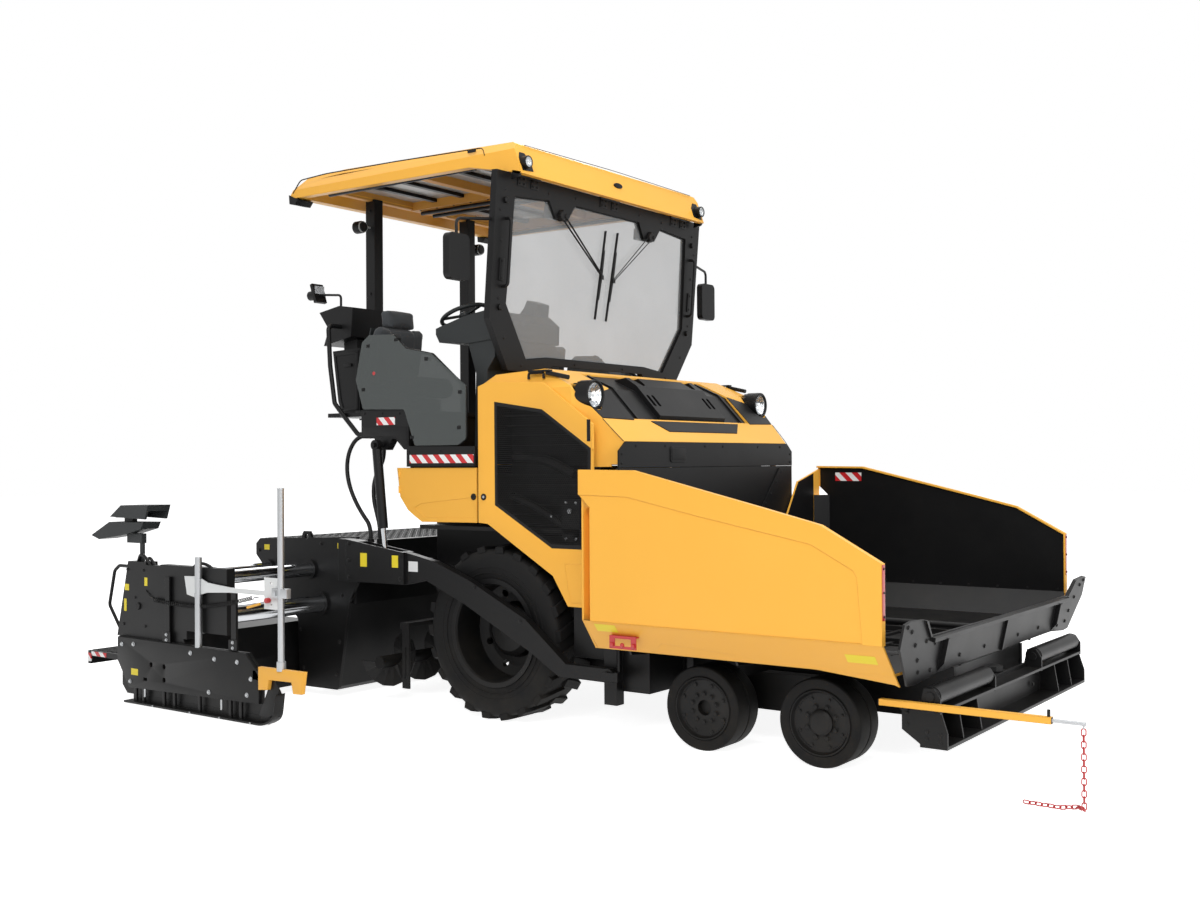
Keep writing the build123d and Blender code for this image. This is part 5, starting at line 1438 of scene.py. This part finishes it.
def addDriveTyre(bm, s, v):
    centre = (0, 0, v["radius"])
    sideLathe(bm, s, v["profile"], centre, 88)
    for r in v["rings"]:  # raised rings on the side wall
        sideLathe(bm, s, ((r - 5, 1190), (r - 2, 1202.4), (r + 2, 1202.4), (r + 5, 1190)), centre, 88)
    middle = (v["outer"] + v["inner"]) / 2
    top = sqrt(v["radius"] ** 2 - (v["lugHalf"] + v["sweep"]) ** 2)
    foot, root = v["lugFoot"], v["carcass"] - 24
    for row, (y0, y1) in enumerate(((middle - 14, v["outer"] - 10), (middle + 14, v["inner"] + 10))):
        for i in range(v["lugs"]):
            turn = 2 * pi / v["lugs"] * (i + row / 2)
            rings = []
            for k in range(v["stations"]):
                t = k / (v["stations"] - 1)
                bend = v["sweep"] * t ** v["sweepCurve"]
                high = top - 1 - v["shoulderDrop"] * max(0.0, t - v["shoulderStart"])
                section = ((-foot, root), (-31, high - 3), (-28, high), (30, high), (33, high - 3),
                           (foot, root))
                ring = []
                for a, r in section:
                    x = (a + bend) * cos(turn) + r * sin(turn)
                    z = r * cos(turn) - (a + bend) * sin(turn)
                    ring.append(bm.verts.new(at(x, s * (y0 + (y1 - y0) * t), v["radius"] + z)))
                rings.append(ring)
            addStack(bm, rings)


def addHubBolts(bm, s, v):
    height = v["radius"]
    for count, turn, ring, y, size, tall in v["bolts"]:
        angles = [2 * pi * (i + turn) / count for i in range(count)]
        sideBolts(bm, s, y, [(ring * cos(a), height + ring * sin(a)) for a in angles], size, tall)
    sideLathe(bm, s, v["hub"], (0, 900, height), 48, False)
    addRod(bm, (0, s * 1150, height - 352), (0, s * 1172, height - 356), 6, 10)


for sideName, s in sides.items():
    driveMesh = bmeshOf(lambda bm: addDriveTyre(bm, s, driveSet))
    wheel = f"drive_wheel_{sideName}"
    driveTyre = addPiece(f"lugTyre_{sideName}", driveMesh, "tyreRubber", wheel)
    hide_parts(f"drive_tyre_{sideName}")
both("hubBolts", addHubBolts, "darkSteel", "drive_wheel_{}", driveSet)
print("wheels ready")

# extensions of the screed: chrome skins of the sliding tubes, coupling rings
slideSet = {
    "tubes": ((-1757, 935, 48), (-2230, 920, 48), (-1640, 690, 62)),  # x, z, radius
    "from": 810, "length": 1288, "ringAt": 2066,
}
extension = "extension_{}"


def addChromeTubes(bm, s, v):
    end = v["length"]
    for x, z, r in v["tubes"]:
        sideLathe(bm, s, ((r - 1, 0), (r + 0.4, 0), (r + 0.4, end), (r - 1, end)), (x, v["from"], z), 48)


def addTubeRings(bm, s, v):
    for x, z, r in v["tubes"]:
        sideLathe(bm, s, ((r + 0.5, 0), (r + 15, 0), (r + 19, 4), (r + 19, 26), (r + 15, 30), (r + 0.5, 30)),
                  (x, v["ringAt"], z), 40)
        for k in range(6):
            a = 2 * pi * k / 6
            place = (x + (r + 10) * cos(a), s * v["ringAt"], z + (r + 10) * sin(a))
            addBolt(bm, place, (0, -s, 0), 5, 4, False)


both("slideTubes", addChromeTubes, "chrome", extension, slideSet)
both("slideRings", addTubeRings, "black", extension, slideSet)

# end gate of the screed, built from its separate parts
gateSet = {
    "back": [(-2766, 474), (-1308, 467), (-1166, 332), (-1168, 140), (-2625, 112), (-2767, 300)],
    "ribs": (-2560, -2470, -2230, -2110, -1830, -1500, -1390),
    "ski": [(-2650, 7), (-1120, 7), (-1010, 60), (-985, 228)],
    "front": [(-1196, 30), (-1060, 310), (-1000, 228), (-1012, 70), (-1110, 20)],
    "arm": [(-1988, 945), (-1961, 820), (-1890, 806), (-1741, 843), (-1493, 857), (-1120, 856), (-1120, 888),
            (-1493, 890), (-1741, 911), (-1850, 950)],
    "bar": [(-1168, 391), (-1169, 239), (-1078, 248), (-1061, 314), (-843, 319), (-828, 246), (-749, 249),
            (-724, 394)],
    "guides": ((-2216, 929), (-1488, 858)),  # x and top
    "bolts": ((-2700, 420), (-2560, 430), (-1900, 420), (-1640, 400), (-1400, 400), (-1260, 300),
              (-2600, 160), (-1700, 170), (-1300, 190)),
    "guideBolts": ((-2191, 486), (-2191, 524), (-1463, 486), (-1463, 524)),
    "soleBolts": ((-2300, 15), (-1880, 15), (-1560, 15), (-1240, 15)),
}


def addGatePlates(bm, s, v):
    sidePlate(bm, s, v["back"], (2150, 2130))
    holes = (*(circle(x, z, 17) for x, z in ((-2350, 300), (-2200, 298), (-2200, 205))),
             rectangle(-2440, -2400, 180, 200))
    sidePlate(bm, s, grown(v["back"], 0.985), (2150, 2172), 5, holes)
    for x in v["ribs"]:
        sidePlate(bm, s, rectangle(x, x + 26, 14, 145), (2149, 2164), 2)
    # sole plate, bent up at the front
    line = [(p.x, p.z) for p in bendPoints([(x, 0, z) for x, z in v["ski"]], 50)]
    sidePlate(bm, s, line + [(x, z + 14) for x, z in reversed(line[:-4])], (2114, 2192), 2)
    sideBlock(bm, s, (-2620, -1130), (2130, 2114), (7, 60), 2)
    sidePlate(bm, s, v["front"], (2130, 2148), 3)
    sidePlate(bm, s, [(x, z + 34) for x, z in v["front"]], (2148, 2156), 3)
    for x, top in v["guides"]:
        sideBlock(bm, s, (x, x + 50), (2150, 2130), (440, top), 3)
        sideBlock(bm, s, (x - 18, x + 68), (2158, 2150), (470, 540), 3)
    sidePlate(bm, s, rectangle(-1240, -1150, 300, 360), (2172, 2160), 3)
    sideBlock(bm, s, (-2620, -1160), (2129, 2127), (50, 150))


def addGateRods(bm, s):  # two height rods with their collars, and the clamp between
    addRod(bm, (-1827, s * 2158, 462), (-1827, s * 2158, 1083), 24, 32, 1.5)
    addLathe(bm, ((24, 0), (27, 0), (27, 30), (24, 30)), (-1827, s * 2158, 806), (0, 0, 1), 32)
    addRod(bm, (-956, s * 2170, 398), (-956, s * 2170, 1564), 22, 32, 1.5)
    addLathe(bm, ((22, 0), (30, 0), (30, 60), (22, 60)), (-956, s * 2170, 381), (0, 0, 1), 32)
    sideBlock(bm, s, (-1030, -884), (2150, 2188), (852, 914), 6)
    sideBlock(bm, s, (-1010, -984), (2188, 2196), (866, 900), 2)
    for x in (-2440, -1580):
        addRod(bm, (x, s * 2158, 60), (x, s * 2158, 132), 9, 16, 1)


def addGateArm(bm, s, v):
    sidePlate(bm, s, v["arm"], (2154, 2140), 2)
    sidePlate(bm, s, rectangle(-1140, -1000, 770, 976), (2156, 2144), 4,
              (circle(-1070, 940, 9), circle(-1070, 800, 9)))


def addGateBar(bm, s, v):
    sidePlate(bm, s, v["bar"], (2154, 2186), 4)


def addGateBolts(bm, s, v):
    sideBolts(bm, s, 2172, v["bolts"], 12, 7)
    sideBolts(bm, s, 2158, v["guideBolts"], 9, 6)
    sideBolts(bm, s, 2192, v["soleBolts"], 8, 5, False)


def addGateSign(bm, s):
    sideStickers(bm, s, 2172.2, ((-2545, 232, (82, 46)),))


def addKnob(bm, s):  # adjusting knob at the height clamp
    profile = ((0, 40), (15, 40), (18, 34), (18, 12), (8, 8), (8, -2))
    sideLathe(bm, s, profile, (-1080, 2156, 830), 24, False)


def addLever(bm, s):
    addTube(bm, [(-1180, s * 2158, 800), (-1300, s * 2164, 770)], 9, 0, 12)


def replaceGate(name, make, finish):
    for sideName, s in sides.items():
        piece = addPiece(f"{name}_{sideName}", bmeshOf(lambda bm: make(bm, s)), finish,
                         f"extension_{sideName}")
        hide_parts(f"end_gate_{sideName}")


replaceGate("gatePlates", lambda bm, s: addGatePlates(bm, s, gateSet), "black")
replaceGate("gateRods", addGateRods, "zinc")
replaceGate("gateArm", lambda bm, s: addGateArm(bm, s, gateSet), "white")
replaceGate("gateBar", lambda bm, s: addGateBar(bm, s, gateSet), "yellow")
both("gateBolts", addGateBolts, "zinc", extension, gateSet)
both("gateSign", addGateSign, "signYellow", extension)
both("clampKnob", addKnob, "red", extension)
both("clampLever", addLever, "yellow", extension)


def addTowerBits(bm, s):
    sideBolts(bm, s, 2128, ((-2740, 560), (-2480, 560), (-2690, 960), (-2500, 960), (-2600, 760)), 10, 6)
    sideLathe(bm, s, ((0, 12), (22, 12), (26, 8), (26, 0)), (-2560, 2128, 700), 32, False)
    for k in range(7):  # ribs of the rubber tread on the step
        sideBlock(bm, s, (-3180 + 60 * k, -3150 + 60 * k), (1210, 2100), (330, 334), 1)


def addTowerSigns(bm, s):
    sideStickers(bm, s, 2128.2, ((-2700, 830, (52, 46)), (-2720, 700, (30, 90)), (-2470, 880, (34, 60))))


def addStepBands(bm, s):
    sideBlock(bm, s, (-3196.6, -3159.4), (2120, 2129), (250, 312), 0.5)
    sideBlock(bm, s, (-3150, -2960), (2128.4, 2129.2), (294, 326), 0.2)


towerHoses = (  # points of each run, y outwards
    [(-2620, 2090, 1010), (-2540, 2120, 1090), (-2440, 2110, 1010), (-2400, 2090, 860), (-2390, 2090, 620)],
    [(-2560, 2060, 1010), (-2480, 2090, 1060), (-2400, 2090, 980), (-2350, 2070, 800), (-2330, 2050, 560)],
    [(-1960, 2100, 1000), (-1880, 2120, 1040), (-1780, 2110, 1030), (-1700, 2080, 960)],
)


def addTowerHoses(bm, s):
    for route in towerHoses:
        addTube(bm, [(x, s * y, z) for x, y, z in route], 11, 80, 12)


leadSet = {
    "start": (-2360, 2142, 760), "end": (-1240, 2168, 838),
    "turns": 46, "radius": 13, "sag": 52, "wire": 3.4,
}


def addCoilLead(bm, s, v):  # spring lead along the height arm
    ends = [Vector((x, s * y, z)) for x, y, z in (v["start"], v["end"])]
    points = [(-2470, s * 2132, 820), (-2410, s * 2136, 780)]
    count = v["turns"] * 8
    for k in range(count + 1):
        t = k / count
        middle = ends[0].lerp(ends[1], t) - Vector((0, 0, v["sag"] * sin(pi * t)))
        a = 2 * pi * k / 8
        points.append((middle.x, middle.y + v["radius"] * cos(a) * 0.9, middle.z + v["radius"] * sin(a)))
    points.append((-1180, s * 2166, 846))
    addTube(bm, points, v["wire"], 0, 6)


both("towerBits", addTowerBits, "darkSteel", extension)
both("towerSigns", addTowerSigns, "signYellow", extension)
both("stepBands", addStepBands, "warningBands", extension)
both("towerHoses", addTowerHoses, "rubber", extension)
both("coilLead", addCoilLead, "rubber", extension, leadSet)

# main screed: tread plate, stickers, bolts
treadSet = {
    "start": (-2310, -1170), "pitch": (37, 39.5), "shift": 20, "rows": 26, "perRow": 60,
    "x": (-2320, -1330), "half": 1172, "z": (1150, 1152.5), "long": 12, "wide": 4,
}


def addDeckTread(bm, v):  # raised bars that slant one way and the other
    a, b = v["long"], v["wide"]
    low, high = v["x"]
    for row in range(v["rows"]):
        for k in range(v["perRow"]):
            x = v["start"][0] + v["pitch"][0] * row
            y = v["start"][1] + v["pitch"][1] * k + (v["shift"] if row % 2 else 0)
            if low < x < high and abs(y) < v["half"]:
                turn = 1 if (row + k) % 2 else -1
                corners = ((-a, -a), (b, -b), (a, a), (-b, b))
                addPlate(bm, [(x + d, y + e * turn) for d, e in corners], v["z"], "xy")


def addScreedSigns(bm, s):
    sideStickers(bm, s, 1215.4, ((-1330, 1020, (60, 74)), (-1430, 1120, (70, 40)), (-2250, 1085, (60, 40))))
    sideStickers(bm, s, 1324.4, ((-1080, 1040, (66, 96)), (-770, 1040, (60, 84))))


def addArmSign(bm, s):
    sideStickers(bm, s, 1300.4, ((-620, 1010, (88, 70)),))


def addScreedBolts(bm, s):  # of the side plate, the arm's bracket and the arm, with the arm's pivot ring
    sideBolts(bm, s, 1215, ((-1290, 900), (-1290, 1150), (-1640, 1130), (-2100, 1110), (-2340, 1060),
                            (-1420, 760), (-1450, 420), (-1480, 180), (-1840, 200), (-1870, 480)), 12, 7)
    sideBolts(bm, s, 1324, ((-1230, 910), (-1230, 1150), (-720, 920), (-720, 1080), (-1230, 1030)), 13, 8)
    sideLathe(bm, s, ((28.5, 0), (46, 0), (46, 4), (28.5, 4)), (1020, 1300, 410), 32)
    sideBolts(bm, s, 1300, ((-60, 900), (330, 700)), 12, 7)


single("deckTread", addDeckTread, "darkSteel", "screed", treadSet, False)
both("screedSigns", addScreedSigns, "signYellow", "screed")
both("armSign", addArmSign, "white", "screed")
both("screedBolts", addScreedBolts, "darkSteel", "screed")
print("screed ready")

# guide rod: painted sleeve, chain of round links
guideSet = {
    "y": -1300, "z": 442, "half": 17.1, "skin": 0.9, "sleeve": (2800, 3700.4),
    "chain": [(3850, -1300, 416), (3850, -1300, 30), (3794, -1212, 15), (3727, -1268, 15), (3545, -1262, 15)],
    "pitch": 29, "link": (36, 22, 3.4),  # length, width and wire of a link
}


def addTubeSkin(bm, v):  # painted square tube that the rod slides in
    y, z, h, inside = v["y"], v["z"], v["half"], v["half"] - v["skin"]
    addPlate(bm, rectangle(y - h, y + h, z - h, z + h), v["sleeve"], "yz", 0,
             (rectangle(y - inside, y + inside, z - inside, z + inside),))


def addLink(bm, centre, way, turn, size):  # one oval ring of round wire
    length, wide, wire = size
    way, u, w = frameOf(way)
    side = u * cos(turn) + w * sin(turn)
    c = at(*centre)
    cross = way.cross(side)
    straight, half = (length - wide) / 2000, wide / 2000
    rings = []
    for k in range(24):
        a = 2 * pi * k / 24
        lift = straight if cos(a) >= 0 else -straight
        place = way * (lift + half * cos(a)) + side * (half * sin(a))
        out = (way * cos(a) + side * sin(a)).normalized()
        rings.append(ringAt(bm, c + place, out, cross, wire / 1000, 8))
    for a, b in zip(rings, rings[1:] + rings[:1]):
        joinRings(bm, a, b)


def addChain(bm, v):
    count = 0
    for start, end in zip(v["chain"], v["chain"][1:]):
        a, b = Vector(start), Vector(end)
        number = max(1, round((b - a).length / v["pitch"]))
        for i in range(number):
            addLink(bm, a + (b - a) * ((i + 0.5) / number), b - a, pi / 2 * (count % 2) + 0.3, v["link"])
            count += 1


single("guideTube", addTubeSkin, "yellow", "push_beam", guideSet)
chainPiece = single("roundChain", addChain, "red", "guide_rod", guideSet)
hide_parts("guide_chain")


def addRollerEnds(bm, s):
    for y, way in ((1252, s), (434, -s)):
        addLathe(bm, ((30, 0), (44, 0), (48, -4), (48, -6), (30, -6)), (3063, s * y, 487), (0, way, 0), 32)


def addBeamBolts(bm, s):
    sideBolts(bm, s, 1250, ((3040, 262), (3040, 300), (3110, 250), (3110, 290), (2930, 330),
                            (2930, 390)), 9, 6)
    for y in (500, 900, 1180):
        addBolt(bm, (3036, s * y, 300), forward, 11, 7)


both("rollerEnds", addRollerEnds, "darkSteel", "push_roller_{}")
both("beamBolts", addBeamBolts, "darkSteel", "push_beam")
print("front ready")
